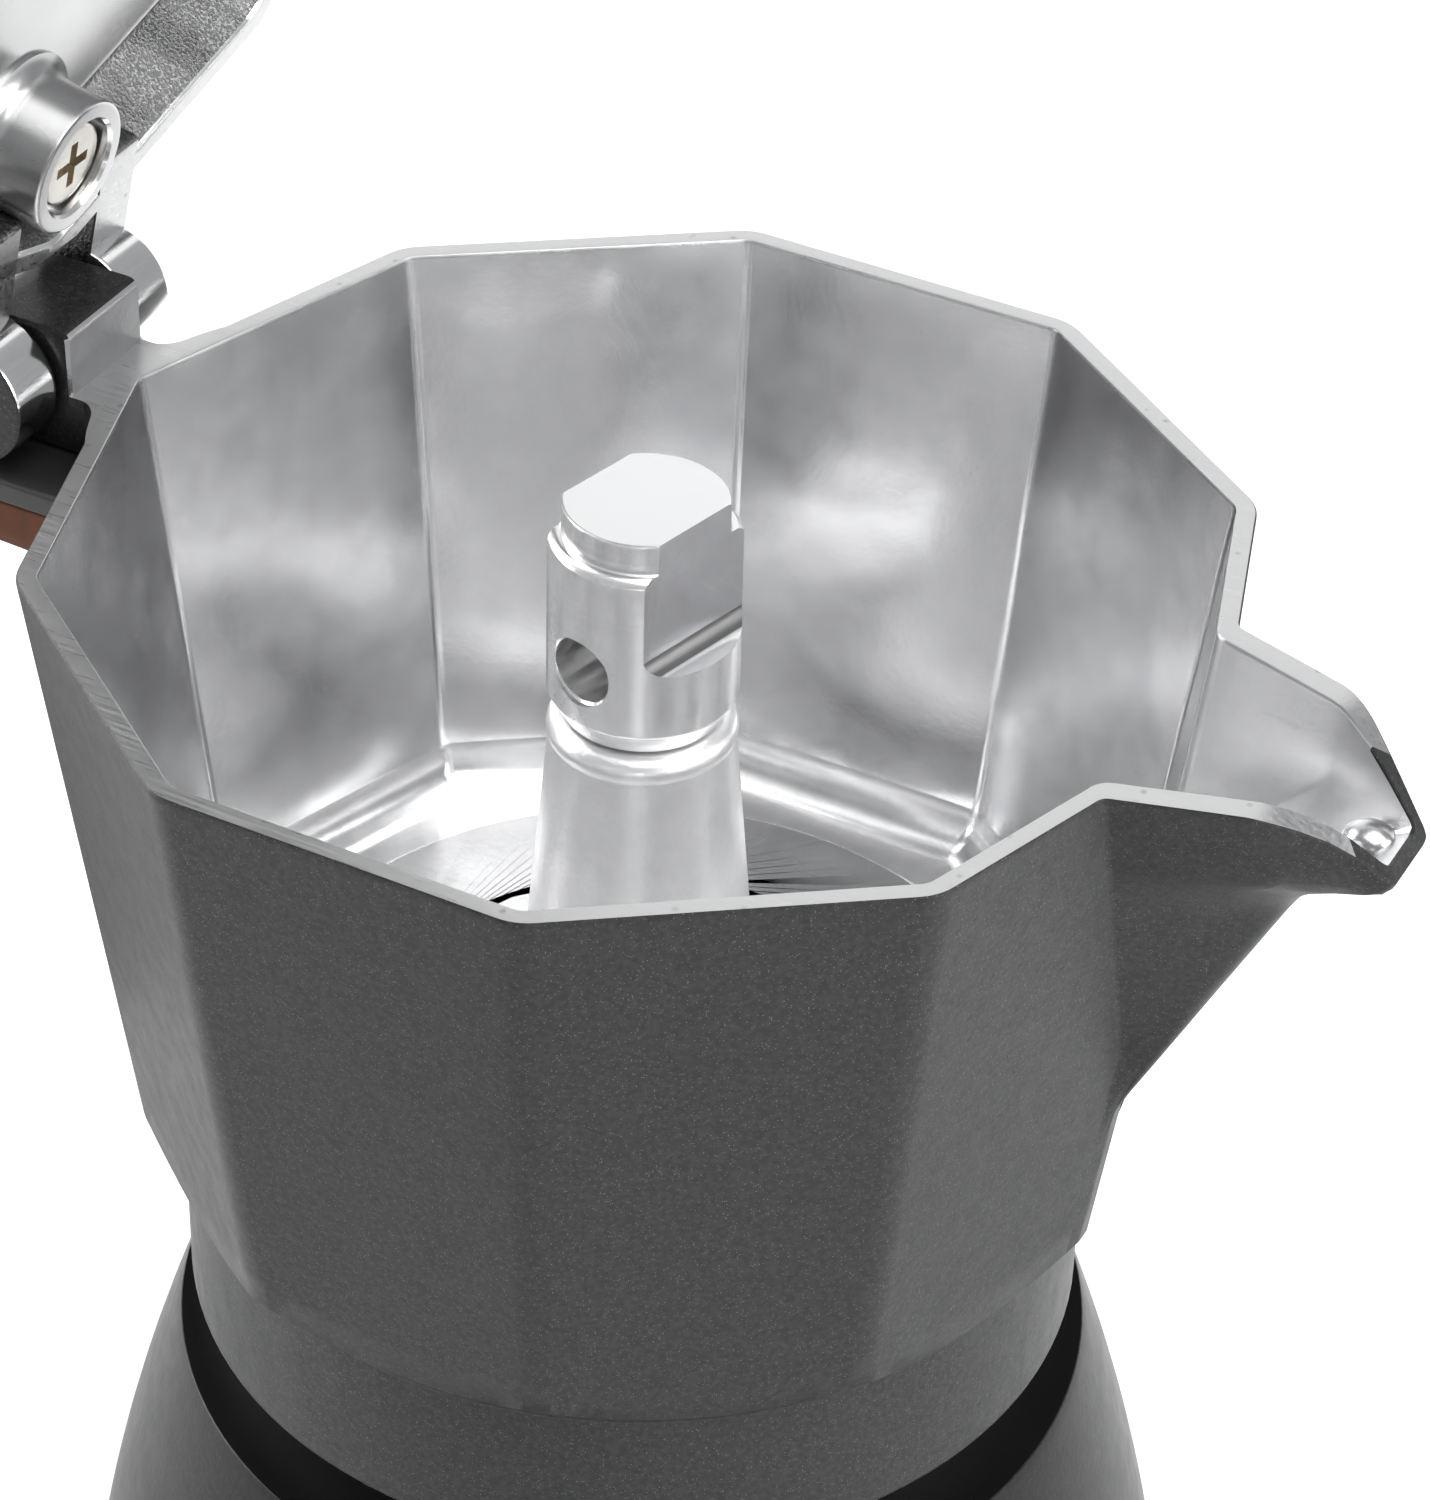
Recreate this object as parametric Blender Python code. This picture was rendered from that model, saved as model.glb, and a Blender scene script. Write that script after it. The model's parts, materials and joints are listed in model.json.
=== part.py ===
"""Ten-sided stovetop coffee pot for six cups, about 300 ml.

Frame: +Z up, origin at the centre of the base, spout towards +X, handle and lid hinge towards -X.
Lengths are in millimetres here and become metres when a mesh is made. Heights named DEPTH are
measured down from the pot's rim.
"""

import math

import bpy
from mathutils import Matrix, Vector

MM = 0.001
GAP = 0.3                      # clearance left between touching pieces

# Upper chamber: a ten-sided tapered cup with a spout, standing on a round threaded skirt.
RIM_Z = 150.0
SIDES = 10
HALF_SIDE = math.pi / SIDES
CUP_CORNER_R = 51.95
CUP_TAPER = 0.132
CUP_ROUNDING = 5.0
HOLLOW_CORNER_R = 50.0
HOLLOW_TAPER = 0.125
HOLLOW_ROUNDING = 2.0
FLOOR_DEPTH = 54.5
FLOOR_FILLET = 4.0
FLOOR_STEP_R = 35.0
FLOOR_STEP = 0.8
CEILING_DEPTH = 57.2
SKIRT_R = 40.55
SKIRT_BOTTOM_DEPTH = 76.8
SKIRT_TOP_DEPTH = 61.05
SEAT_DEPTH = 60.0              # the face that the gasket presses against

# Spout: a V-shaped prow on the corner that points to +X, whose lip curves down towards its tip.
PROW_FOOT_DEPTH = 40.9
PROW_HALF_WIDTH = 13.4
PROW_KEEL = ((46.55, 40.9), (59.2, 15.0), (60.3, 13.0), (61.6, 11.4), (63.8, 9.9), (66.0, 9.0),
             (68.0, 8.2), (68.6, 7.1))
CHANNEL_FOOT_DEPTH = 37.0
CHANNEL_HALF_WIDTH = 11.3
CHANNEL_KEEL = ((45.38, 37.0), (56.6, 15.0), (58.6, 11.5), (61.0, 9.4), (64.3, 7.9), (67.7, 6.3))
LIP_START_X = 57.8
LIP_TIP_X = 68.6
LIP_TIP_DEPTH = 7.1
LIP_CURVE = 1.7
TIP_ROUNDING = 1.4

# Coffee column with its turned cap.
COLUMN_TOP_DEPTH = 17.0
COLUMN_TOP_R = 8.05
COLUMN_BASE_R = 10.7
COLUMN_BORE_R = 3.6
CAP_SEAT_R = 5.3
CAP_R = 8.2
CAP_DISC_R = 7.05
CAP_FLAT = 5.5                 # distance of each flat from the axis
CAP_TURN = math.radians(-14.0)
CROSS_HOLE_R = 3.0

# Screw thread between boiler and upper chamber.
THREAD_PITCH = 3.0
THREAD_HALF_HEIGHT = 0.5
THREAD_MALE_R = 37.3
THREAD_FEMALE_R = 37.8

# Boiler.
BOILER_BASE_R = 53.6
BOILER_EDGE_Z = 5.0
SHOULDER_R = 41.9
SHOULDER_Z = 66.3
BOILER_BELLY = 1.9
BOILER_RIM_Z = 84.2
BOILER_MOUTH_R = 33.4
VALVE_Z = 46.0
VALVE_AZIMUTH = math.radians(90.0)
VALVE_HOLE_R = 4.4

# Lid and hinge.
LID_OPEN = math.radians(78.0)
HINGE_X = -60.5
HINGE_Z = RIM_Z + 0.8
KNUCKLE_R = 6.2
KNUCKLE_IN = 6.0
KNUCKLE_OUT = 11.6
LUG_HALF_WIDTH = 5.5
LUG_TOP = 6.3                  # above the rim
LUG_FRONT_X = -53.3
PIN_R = 1.6
KNOB_X = -41.2
BOSS_R = 6.2
BOSS_END_DEPTH = 0.9

# Handle.
STRAP_TOP_DEPTH = 6.0
STRAP_THICK = 2.2
HANDLE_SCREW_X = -57.6


def clear_scene():
    for obj in list(bpy.data.objects):
        bpy.data.objects.remove(obj, do_unlink=True)


def material(name, color, roughness, metallic):
    made = bpy.data.materials.new(name)
    made.use_nodes = True
    shader = made.node_tree.nodes["Principled BSDF"]
    shader.inputs["Base Color"].default_value = (*color, 1.0)
    shader.inputs["Roughness"].default_value = roughness
    shader.inputs["Metallic"].default_value = metallic
    return made


def lerp(a, b, t):
    return a + (b - a) * t


def table(points, depth):
    """First value of a list of (value, depth), read at a depth. Depths run from deep to shallow."""
    if depth >= points[0][1]:
        return points[0][0]
    for (v0, d0), (v1, d1) in zip(points, points[1:]):
        if depth >= d1:
            return lerp(v0, v1, (d0 - depth) / (d0 - d1))
    return points[-1][0]


def mesh_object(name, points, faces, mat, turn=None):
    """An object from millimetre points, with its faces turned outwards."""
    mesh = bpy.data.meshes.new(name)
    mesh.from_pydata([Vector(p) * MM for p in points], [], faces)
    if turn is not None:
        mesh.transform(turn)
    mesh.update()
    signed = 0.0
    for face in mesh.polygons:
        first = mesh.vertices[face.vertices[0]].co
        for a, b in zip(face.vertices[1:-1], face.vertices[2:]):
            signed += first.dot(mesh.vertices[a].co.cross(mesh.vertices[b].co))
    if signed < 0:
        mesh.flip_normals()
    mesh.shade_smooth()
    mesh.set_sharp_from_angle(angle=math.radians(32))
    obj = bpy.data.objects.new(name, mesh)
    bpy.context.collection.objects.link(obj)
    if mat is not None:
        mesh.materials.append(mat)
    return obj


def skin(name, rings, mat, wrap=False, turn=None):
    """A closed skin over rings of equal count. It either wraps round or ends in two flat caps."""
    count = len(rings[0])
    points = [p for ring in rings for p in ring]
    faces = []
    last = len(rings) if wrap else len(rings) - 1
    for row in range(last):
        a = row * count
        b = (row + 1) % len(rings) * count
        for k in range(count):
            n = (k + 1) % count
            faces.append((a + k, a + n, b + n, b + k))
    if not wrap:
        faces.append(tuple(reversed(range(count))))
        faces.append(tuple(range((len(rings) - 1) * count, len(rings) * count)))
    return mesh_object(name, points, faces, mat, turn)


def circle(r, z, angles):
    return [(r * math.cos(a), r * math.sin(a), z) for a in angles]


def even_angles(count):
    return [2 * math.pi * k / count for k in range(count)]


def lathe(name, profile, mat, count=40, wrap=True, turn=None):
    """Turned about Z from (radius, height) pairs. A wrapped profile is a loop off the axis."""
    angles = even_angles(count)
    return skin(name, [circle(r, z, angles) for r, z in profile], mat, wrap, turn)


def prism(name, outline, low, high, mat, turn=None):
    """An outline of (x, y) pairs, extruded from low to high along Z."""
    return skin(name, [[(x, y, z) for x, y in outline] for z in (low, high)], mat, turn=turn)


def box(name, low, high, mat=None):
    (x0, y0, z0), (x1, y1, z1) = low, high
    return prism(name, ((x0, y0), (x1, y0), (x1, y1), (x0, y1)), z0, z1, mat)


def side_plate(name, outline, y0, y1, mat):
    """An outline of (x, z) pairs, extruded along Y."""
    return skin(name, [[(x, y, z) for x, z in outline] for y in (y0, y1)], mat)


def along(axis, place):
    """Matrix that turns Z to an axis and moves the origin to a place in millimetres."""
    turn = Vector(axis).to_track_quat("Z", "Y").to_matrix().to_4x4()
    return Matrix.Translation(Vector(place) * MM) @ turn


def apply_boolean(target, tool, operation):
    """Joins or cuts with a helper, which stays in the scene as a hidden wire."""
    tool.hide_render = True
    tool.display_type = "WIRE"
    step = target.modifiers.new(operation.title(), "BOOLEAN")
    step.operation = operation
    step.solver = "EXACT"
    step.object = tool
    return target


def join(target, *tools):
    for tool in tools:
        apply_boolean(target, tool, "UNION")
    return target


def cut(target, *tools):
    for tool in tools:
        apply_boolean(target, tool, "DIFFERENCE")
    return target


def arc(cx, cy, r, start, end, steps):
    """Points on an arc between two angles in degrees, both ends included."""
    angles = [math.radians(lerp(start, end, k / steps)) for k in range(steps + 1)]
    return [(cx + r * math.cos(a), cy + r * math.sin(a)) for a in angles]


# ---------------------------------------------------------------- plan outline of the cup

CORNER_STEPS = 2
SIDE_STEPS = 2
PROW_STEPS = 2


def fillet(before, corner, after, radius, steps):
    """Points that round one corner of an outline."""
    corner = Vector(corner)
    back = (Vector(before) - corner).normalized()
    on = (Vector(after) - corner).normalized()
    half = 0.5 * math.acos(max(-1.0, min(1.0, back.dot(on))))
    reach = radius / math.tan(half) if half < math.pi / 2 - 1e-4 else 0.0
    room = 0.49 * min((Vector(before) - corner).length, (Vector(after) - corner).length)
    reach = min(reach, room)
    start = corner + back * reach
    end = corner + on * reach
    points = []
    for k in range(steps + 1):
        t = k / steps
        # A quadratic curve stays close to the arc at these shallow angles.
        points.append(start * (1 - t) ** 2 + corner * 2 * t * (1 - t) + end * t * t)
    return points


class Cup:
    """Plan outline of the cup's outer or inner wall at any depth below the rim."""

    def __init__(self, corner_r, taper, rounding, foot, half_width, keel, nose, bulge):
        self.corner_r = corner_r
        self.taper = taper
        self.rounding = rounding
        self.foot = foot
        self.half_width = half_width
        self.keel = keel
        self.nose = nose
        self.bulge = bulge

    def corner(self, depth):
        return self.corner_r - self.taper * depth

    def prow(self, depth, corner_r):
        """Half of the spout's outline: junction, bend and front corner, on the +Y side."""
        rest_nose = 0.1585 * self.rounding
        plain_x = corner_r - 0.0515 * self.rounding
        keel_x = max(plain_x, table(self.keel, depth)) if depth < self.keel[0][1] else plain_x
        stand = min(1.0, (keel_x - plain_x) / 3.0)
        lip = min(1.0, max(0.0, (15.0 - depth) / 7.0))
        nose = lerp(lerp(rest_nose, 1.5, stand), self.nose, lip * stand)
        join_y = 2.2 + max(0.0, self.half_width * (1 - depth / self.foot) - 2.2 * stand)
        join_x = corner_r - join_y * math.tan(HALF_SIDE)
        bend = Vector((lerp(join_x, keel_x, 0.6), lerp(join_y, nose, 0.6)))
        bend.y += self.bulge * stand * max(0.0, 1 - depth / 12.0)
        front_rounding = lerp(self.rounding, TIP_ROUNDING, lip * stand)
        return Vector((join_x, join_y)), bend, Vector((keel_x, nose)), front_rounding

    def outline(self, depth, inset=0.0):
        corner_r = self.corner(depth) - inset / math.cos(HALF_SIDE)
        corners = [Vector((math.cos(2 * HALF_SIDE * k), math.sin(2 * HALF_SIDE * k))) * corner_r
                   for k in range(SIDES)]
        junction, bend, front, round_front = self.prow(depth, corner_r)
        mirror = lambda v: Vector((v.x, -v.y))
        nodes = [mirror(junction), mirror(bend), mirror(front), front, bend, junction]
        radii = [0.8, 4.0, round_front, round_front, 4.0, 0.8]
        steps = [1, 1, PROW_STEPS, PROW_STEPS, 1, 1]
        nodes += corners[1:]
        radii += [self.rounding] * (SIDES - 1)
        steps += [CORNER_STEPS] * (SIDES - 1)
        points = []
        for k, node in enumerate(nodes):
            after = nodes[(k + 1) % len(nodes)]
            points += fillet(nodes[k - 1], node, after, radii[k], steps[k])
            if k >= 5:
                start = points[-1]
                far = fillet(node, after, nodes[(k + 2) % len(nodes)],
                             radii[(k + 1) % len(nodes)], 1)[0]
                points += [start.lerp(far, (j + 1) / (SIDE_STEPS + 1)) for j in range(SIDE_STEPS)]
        return points


OUTER = Cup(CUP_CORNER_R, CUP_TAPER, CUP_ROUNDING, PROW_FOOT_DEPTH, PROW_HALF_WIDTH, PROW_KEEL, 3.8, 1.9)
INNER = Cup(HOLLOW_CORNER_R, HOLLOW_TAPER, HOLLOW_ROUNDING, CHANNEL_FOOT_DEPTH, CHANNEL_HALF_WIDTH,
            CHANNEL_KEEL, 2.9, 1.0)


def lip_depth(x):
    return LIP_TIP_DEPTH * max(0.0, (x - LIP_START_X) / (LIP_TIP_X - LIP_START_X)) ** LIP_CURVE


def wall_tops(cup):
    """Depth at which each column of a wall meets the rim or the falling lip."""
    tops = []
    for k, start in enumerate(cup.outline(0.0)):
        low, high = 0.0, lip_depth(start.x)
        for _ in range(14 if high > 0.0 else 0):
            middle = 0.5 * (low + high)
            if lip_depth(cup.outline(middle)[k].x) > middle:
                low = middle
            else:
                high = middle
        tops.append(high)
    return tops


def wall_ring(cup, low, tops, share):
    """Ring of points a share of the way from each column's lower depth up to its top."""
    ring = []
    for k, (bottom, top) in enumerate(zip(low, tops)):
        depth = lerp(bottom, top, share)
        p = cup.outline(depth)[k]
        ring.append((p.x, p.y, RIM_Z - depth))
    return ring


def undercut_depths():
    """Depth of each column of the outer wall where it meets the 45 degree undercut."""
    depths = []
    for k in range(len(OUTER.outline(0.0))):
        depth = 58.0
        for _ in range(20):
            depth = SKIRT_TOP_DEPTH - (OUTER.outline(depth)[k].length - SKIRT_R)
        depths.append(depth)
    return depths


def thread_ring(r, z, angles, window):
    ring = []
    for a in angles:
        wave = math.cos(2 * math.pi * z / THREAD_PITCH - a)
        radius = r + THREAD_HALF_HEIGHT * window * wave
        ring.append((radius * math.cos(a), radius * math.sin(a), z))
    return ring


def thread_rows(r, low, high, angles, rows_per_pitch=4):
    """Rings of a helical thread that fades out over its first and last row."""
    rows = round((high - low) / THREAD_PITCH * rows_per_pitch)
    rings = []
    for k in range(rows + 1):
        window = min(1.0, k / 1.5, (rows - k) / 1.5)
        rings.append(thread_ring(r, lerp(low, high, k / rows), angles, window))
    return rings


def upper_chamber(mat):
    """The cup, its spout, floor and column, and the threaded skirt below, as one casting."""
    low = undercut_depths()
    edge = OUTER.outline(57.0)
    angles = [math.atan2(p.y, p.x) for p in edge]
    start = math.atan2(edge[0].y, edge[0].x)
    spread = [start + 2 * math.pi * k / len(edge) for k in range(len(edge))]
    outer_shares = (0.0, 0.33, 0.6, 0.8, 0.87, 0.905, 0.93, 0.955, 0.975, 1.0)
    outer_tops = wall_tops(OUTER)
    rings = [wall_ring(OUTER, low, outer_tops, share) for share in outer_shares]

    start_fillet = FLOOR_DEPTH - FLOOR_FILLET
    inner_low = [start_fillet] * len(edge)
    inner_shares = (1.0, 0.97, 0.94, 0.9, 0.84, 0.76, 0.6, 0.33, 0.0)
    inner_tops = wall_tops(INNER)
    rings += [wall_ring(INNER, inner_low, inner_tops, share) for share in inner_shares]
    for step in (1, 2, 3):
        a = math.radians(30 * step)
        inset = FLOOR_FILLET * (1 - math.cos(a))
        depth = start_fillet + FLOOR_FILLET * math.sin(a)
        ring = INNER.outline(depth, inset)
        rings.append([(p.x, p.y, RIM_Z - depth) for p in ring])

    floor_z = RIM_Z - FLOOR_DEPTH
    rings.append(circle(FLOOR_STEP_R, floor_z, angles))
    rings.append(circle(FLOOR_STEP_R - 0.6, floor_z + FLOOR_STEP, angles))
    column_top = RIM_Z - COLUMN_TOP_DEPTH
    column = ((COLUMN_BASE_R + 3.0, floor_z + FLOOR_STEP), (COLUMN_BASE_R + 0.8, floor_z + 1.6),
              (COLUMN_BASE_R, floor_z + 3.6), (COLUMN_TOP_R, column_top - 2.4),
              (COLUMN_TOP_R + 0.1, column_top - 1.2), (COLUMN_TOP_R - 0.4, column_top - 0.3),
              (COLUMN_TOP_R - 1.1, column_top), (CAP_SEAT_R, column_top),
              (CAP_SEAT_R, column_top - 9.0), (COLUMN_BORE_R, column_top - 9.0),
              (COLUMN_BORE_R, RIM_Z - CEILING_DEPTH))
    rings += [circle(r, z, spread) for r, z in column]

    seat_z = RIM_Z - SEAT_DEPTH
    skirt_z = RIM_Z - SKIRT_BOTTOM_DEPTH
    under = ((31.6, RIM_Z - CEILING_DEPTH), (31.6, seat_z), (THREAD_FEMALE_R, seat_z))
    rings += [circle(r, z, angles) for r, z in under]
    rings += reversed(thread_rows(THREAD_FEMALE_R, skirt_z + 1.4, seat_z - 3.0, angles))
    skirt = ((THREAD_FEMALE_R + 0.6, skirt_z), (SKIRT_R - 0.7, skirt_z), (SKIRT_R, skirt_z + 0.7),
             (SKIRT_R, RIM_Z - SKIRT_TOP_DEPTH))
    rings += [circle(r, z, angles) for r, z in skirt]
    body = skin("upper_chamber", rings, mat, wrap=True)

    lug = [(-49.5, RIM_Z - 5.7), (-49.5, RIM_Z), (LUG_FRONT_X, RIM_Z),
           (LUG_FRONT_X, RIM_Z + LUG_TOP - 0.8), (LUG_FRONT_X - 0.8, RIM_Z + LUG_TOP)]
    lug += arc(HINGE_X, HINGE_Z, LUG_TOP - 0.8, 90, 180, 6)
    lug += [(HINGE_X - LUG_TOP + 0.8, RIM_Z - 5.7)]
    lug_form = side_plate("lug_form", lug, -LUG_HALF_WIDTH, LUG_HALF_WIDTH, mat)
    middle = 0.5 * (CUP_CORNER_R + HOLLOW_CORNER_R) - 0.35
    slant = 8.0 * math.tan(HALF_SIDE)
    wedge = [(-middle, 0.0), (-middle + slant, 8.0), (-40.0, 8.0), (-40.0, -8.0), (-middle + slant, -8.0)]
    cut(lug_form, prism("lug_end_cut", wedge, RIM_Z - 8.0, RIM_Z + 0.02, None))
    join(body, lug_form)
    cut(body, lathe("lug_bore", rod_profile(PIN_R + 0.15, -9, 9), None, 24, False,
                    along((0, 1, 0), (HINGE_X, 0, HINGE_Z))),
        lathe("lug_screw_hole", rod_profile(2.0, -8, -1.6), None, 16, False,
              along((0, 0, 1), (HANDLE_SCREW_X, 0, RIM_Z))))
    return body


def rod_profile(r, low, high):
    return ((r, low), (r, high))


def column_cap(mat):
    """Turned cap with a spigot, two milled flats that end in a round groove, and a cross hole."""
    top = RIM_Z + 4.2
    base = RIM_Z - COLUMN_TOP_DEPTH + GAP
    spigot = CAP_SEAT_R - 0.1
    profile = ((2.6, base - 8.4), (spigot - 0.4, base - 8.4), (spigot, base - 8.0), (spigot, base),
               (6.8, base), (CAP_R, base + 2.3), (CAP_R, RIM_Z + 0.6), (CAP_R - 0.5, RIM_Z + 1.3),
               (CAP_DISC_R, RIM_Z + 1.3), (CAP_DISC_R, top - 0.2), (CAP_DISC_R - 0.2, top))
    cap = lathe("column_cap", profile, mat, 36, wrap=False)
    bore = lathe("cap_bore", ((2.6, base - 9.0), (2.6, RIM_Z - 4.5)), None, 20, wrap=False)
    cut(cap, bore)
    turn = Matrix.Rotation(CAP_TURN, 4, "Z")
    groove_low = RIM_Z - 8.2
    for sign in (1, -1):
        side = [(sign * 12.0, RIM_Z + 6.0), (sign * CAP_FLAT, RIM_Z + 6.0),
                (sign * CAP_FLAT, groove_low + 1.8)]
        side += [(sign * x, z) for x, z in arc(CAP_FLAT + 1.8, groove_low + 1.8, 1.8, 180, 270, 4)[1:]]
        side += [(sign * 12.0, groove_low)]
        tool = side_plate("cap_flat", side, -10.0, 10.0, None)
        tool.data.transform(turn)
        cut(cap, tool)
    hole_axis = (math.sin(CAP_TURN), -math.cos(CAP_TURN), 0.0)
    cut(cap, lathe("cap_cross_hole", rod_profile(CROSS_HOLE_R, -10, 10), None, 24, False,
                   along(hole_axis, (0, 0, RIM_Z - 9.2))))
    return cap


# ---------------------------------------------------------------- boiler, funnel and seals

def boiler_radius(z):
    t = (z - BOILER_EDGE_Z) / (SHOULDER_Z - BOILER_EDGE_Z)
    return BOILER_BASE_R - (BOILER_BASE_R - SHOULDER_R) * t ** BOILER_BELLY


def boiler(mat):
    """Bell-shaped water vessel with a threaded neck and a valve hole in its side."""
    angles = even_angles(48)
    outside = [(49.6, 0.0), (51.8, 0.8), (53.0, 2.2)]
    outside += [(boiler_radius(z), z) for z in (5.0, 20.0, 32.0, 42.0, 51.0, 59.0, 64.8)]
    outside += [(SHOULDER_R - 0.5, SHOULDER_Z), (39.2, 67.6), (37.4, 69.4), (36.8, 71.6)]
    rings = [circle(r, z, angles) for r, z in outside]
    rings += thread_rows(THREAD_MALE_R - 0.5, 73.0, 82.0, angles)
    inside = [(36.0, 83.4), (35.6, BOILER_RIM_Z), (BOILER_MOUTH_R, BOILER_RIM_Z), (BOILER_MOUTH_R, 68.0),
              (38.6, 62.5)]
    inside += [(boiler_radius(z) - 3.0, z) for z in (51.0, 38.0, 22.0, 10.0)]
    inside += [(47.5, 4.0)]
    rings += [circle(r, z, angles) for r, z in inside]
    body = skin("boiler", rings, mat)
    spot = Vector((math.cos(VALVE_AZIMUTH), math.sin(VALVE_AZIMUTH), 0.0))
    boss = lathe("valve_boss", rod_profile(8.2, -6.0, 0.0), mat, 24, False,
                 along(spot, spot * VALVE_FACE_R + Vector((0, 0, VALVE_Z))))
    hole = lathe("valve_hole", rod_profile(VALVE_HOLE_R + 0.2, -12.0, 3.0), None, 24, False,
                 along(spot, spot * VALVE_FACE_R + Vector((0, 0, VALVE_Z))))
    join(body, boss)
    return cut(body, hole)


VALVE_FACE_R = boiler_radius(VALVE_Z) + 2.6


def on_valve(name, profile, mat, count=24, wrap=True):
    """A turned piece on the valve's axis, with its heights counted outwards from the boss face."""
    spot = Vector((math.cos(VALVE_AZIMUTH), math.sin(VALVE_AZIMUTH), 0.0))
    return lathe(name, profile, mat, count, wrap, along(spot, spot * VALVE_FACE_R + Vector((0, 0, VALVE_Z))))


def valve(brass, steel, rubber, gold):
    """Safety valve: hexagonal brass body, washer, sprung pin and the retainer it slides in."""
    on_valve("valve_washer", ((VALVE_HOLE_R + 0.3, GAP), (7.2, GAP), (7.2, 1.3), (VALVE_HOLE_R + 0.3, 1.3)),
             rubber)
    head = on_valve("valve_body", ((2.9, -8.6), (VALVE_HOLE_R, -8.6), (VALVE_HOLE_R, 1.6), (7.0, 1.6),
                                   (7.0, 7.4), (6.0, 8.2), (4.6, 8.2), (4.6, -5.0), (2.9, -5.0)), brass)
    spot = Vector((math.cos(VALVE_AZIMUTH), math.sin(VALVE_AZIMUTH), 0.0))
    hexagon = [(x, y) for x, y, _ in circle(8.0, 0.0, even_angles(6))]
    join(head, ring_prism("valve_hexagon", hexagon, 5.6, 1.6, 5.4, brass,
                          along(spot, spot * VALVE_FACE_R + Vector((0, 0, VALVE_Z)))))
    on_valve("valve_retainer", ((1.7, 7.0), (4.3, 7.0), (4.3, 8.0), (1.7, 8.0)), gold)
    on_valve("valve_pin", ((0.9, -8.9), (2.2, -8.9), (2.2, -4.7), (3.9, -4.7), (3.9, -3.4), (1.4, -3.4),
                           (1.4, 9.0), (0.9, 9.4)), steel, wrap=False)
    coil_spring("valve_spring", 2.9, 0.45, -2.6, 6.4, 4, steel,
                along(spot, spot * VALVE_FACE_R + Vector((0, 0, VALVE_Z))))


def ring_prism(name, outline, bore_r, low, high, mat, turn):
    """A prism with a round hole of as many sides as its outline."""
    hole = [(x, y) for x, y, _ in circle(bore_r, 0.0, even_angles(len(outline)))]
    rings = [[(x, y, z) for x, y in shape]
             for shape, z in ((outline, low), (outline, high), (hole, high), (hole, low))]
    return skin(name, rings, mat, wrap=True, turn=turn)


def coil_spring(name, r, wire_r, low, high, turns, mat, turn):
    steps = turns * 14
    rings = []
    for k in range(steps + 1):
        a = 2 * math.pi * turns * k / steps
        z = lerp(low, high, k / steps)
        centre = Vector((r * math.cos(a), r * math.sin(a), z))
        out = Vector((math.cos(a), math.sin(a), 0.0))
        up = Vector((0.0, 0.0, 1.0))
        rings.append([centre + (out * math.cos(b) + up * math.sin(b)) * wire_r for b in even_angles(6)])
    return skin(name, rings, mat, turn=turn)


def funnel(mat, plate_mat):
    """Coffee basket with a flange, the perforated plate that lies in it and the tube below."""
    top = BOILER_RIM_Z + GAP + 1.0
    basket = ((30.6, 62.4), (31.6, 63.4), (31.6, top - 0.2), (35.8, top - 0.2), (35.8, top - 1.0),
              (32.4, top - 1.0), (32.4, 62.8), (31.0, 61.2), (9.0, 54.0), (5.6, 53.2), (5.6, 52.2),
              (4.8, 52.2), (4.8, 54.0), (8.8, 54.9))
    lathe("funnel_basket", basket, mat, 40)
    lathe("funnel_tube", ((4.5, 7.6), (4.5, 56.4), (3.7, 56.4), (3.7, 7.6)), mat, 24)
    lathe("funnel_plate", ((2.0, 62.8), (30.4, 62.8), (30.4, 63.8), (2.0, 63.8)), plate_mat, 40)


def seals(rubber, plate_mat):
    """Rubber gasket and the perforated plate that it holds against the chamber."""
    seat = RIM_Z - SEAT_DEPTH
    low = BOILER_RIM_Z + GAP + 1.0 + 0.1
    lathe("gasket", ((28.4, low), (35.7, low), (36.3, low + 0.6), (36.3, seat - 0.9), (35.7, seat - GAP),
                     (28.4, seat - GAP)), rubber, 40)
    lathe("filter_plate", ((1.0, seat + 1.7), (22.0, seat + 1.3), (26.0, seat + 0.2), (31.2, seat + 0.2),
                           (31.2, seat + 1.0), (26.3, seat + 1.0), (22.2, seat + 2.1), (1.0, seat + 2.5)),
          plate_mat, 40)


# ---------------------------------------------------------------- lid, knob and hinge

LID_BEAK_X = 60.5
LID_CUP = Cup(CUP_CORNER_R, 0.0, 4.0, 30.0, 12.5, ((LID_BEAK_X, 30.0), (LID_BEAK_X, 0.0)), 3.0, 0.0)


def lid_ring(inset, z):
    """The lid's outline, drawn in by an inset. The beak over the spout draws in with it."""
    ring = LID_CUP.outline(0.0)
    share = 1.0 - inset / (CUP_CORNER_R * math.cos(HALF_SIDE))
    return [(p.x * share, p.y * share, RIM_Z + z) for p in ring]


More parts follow.
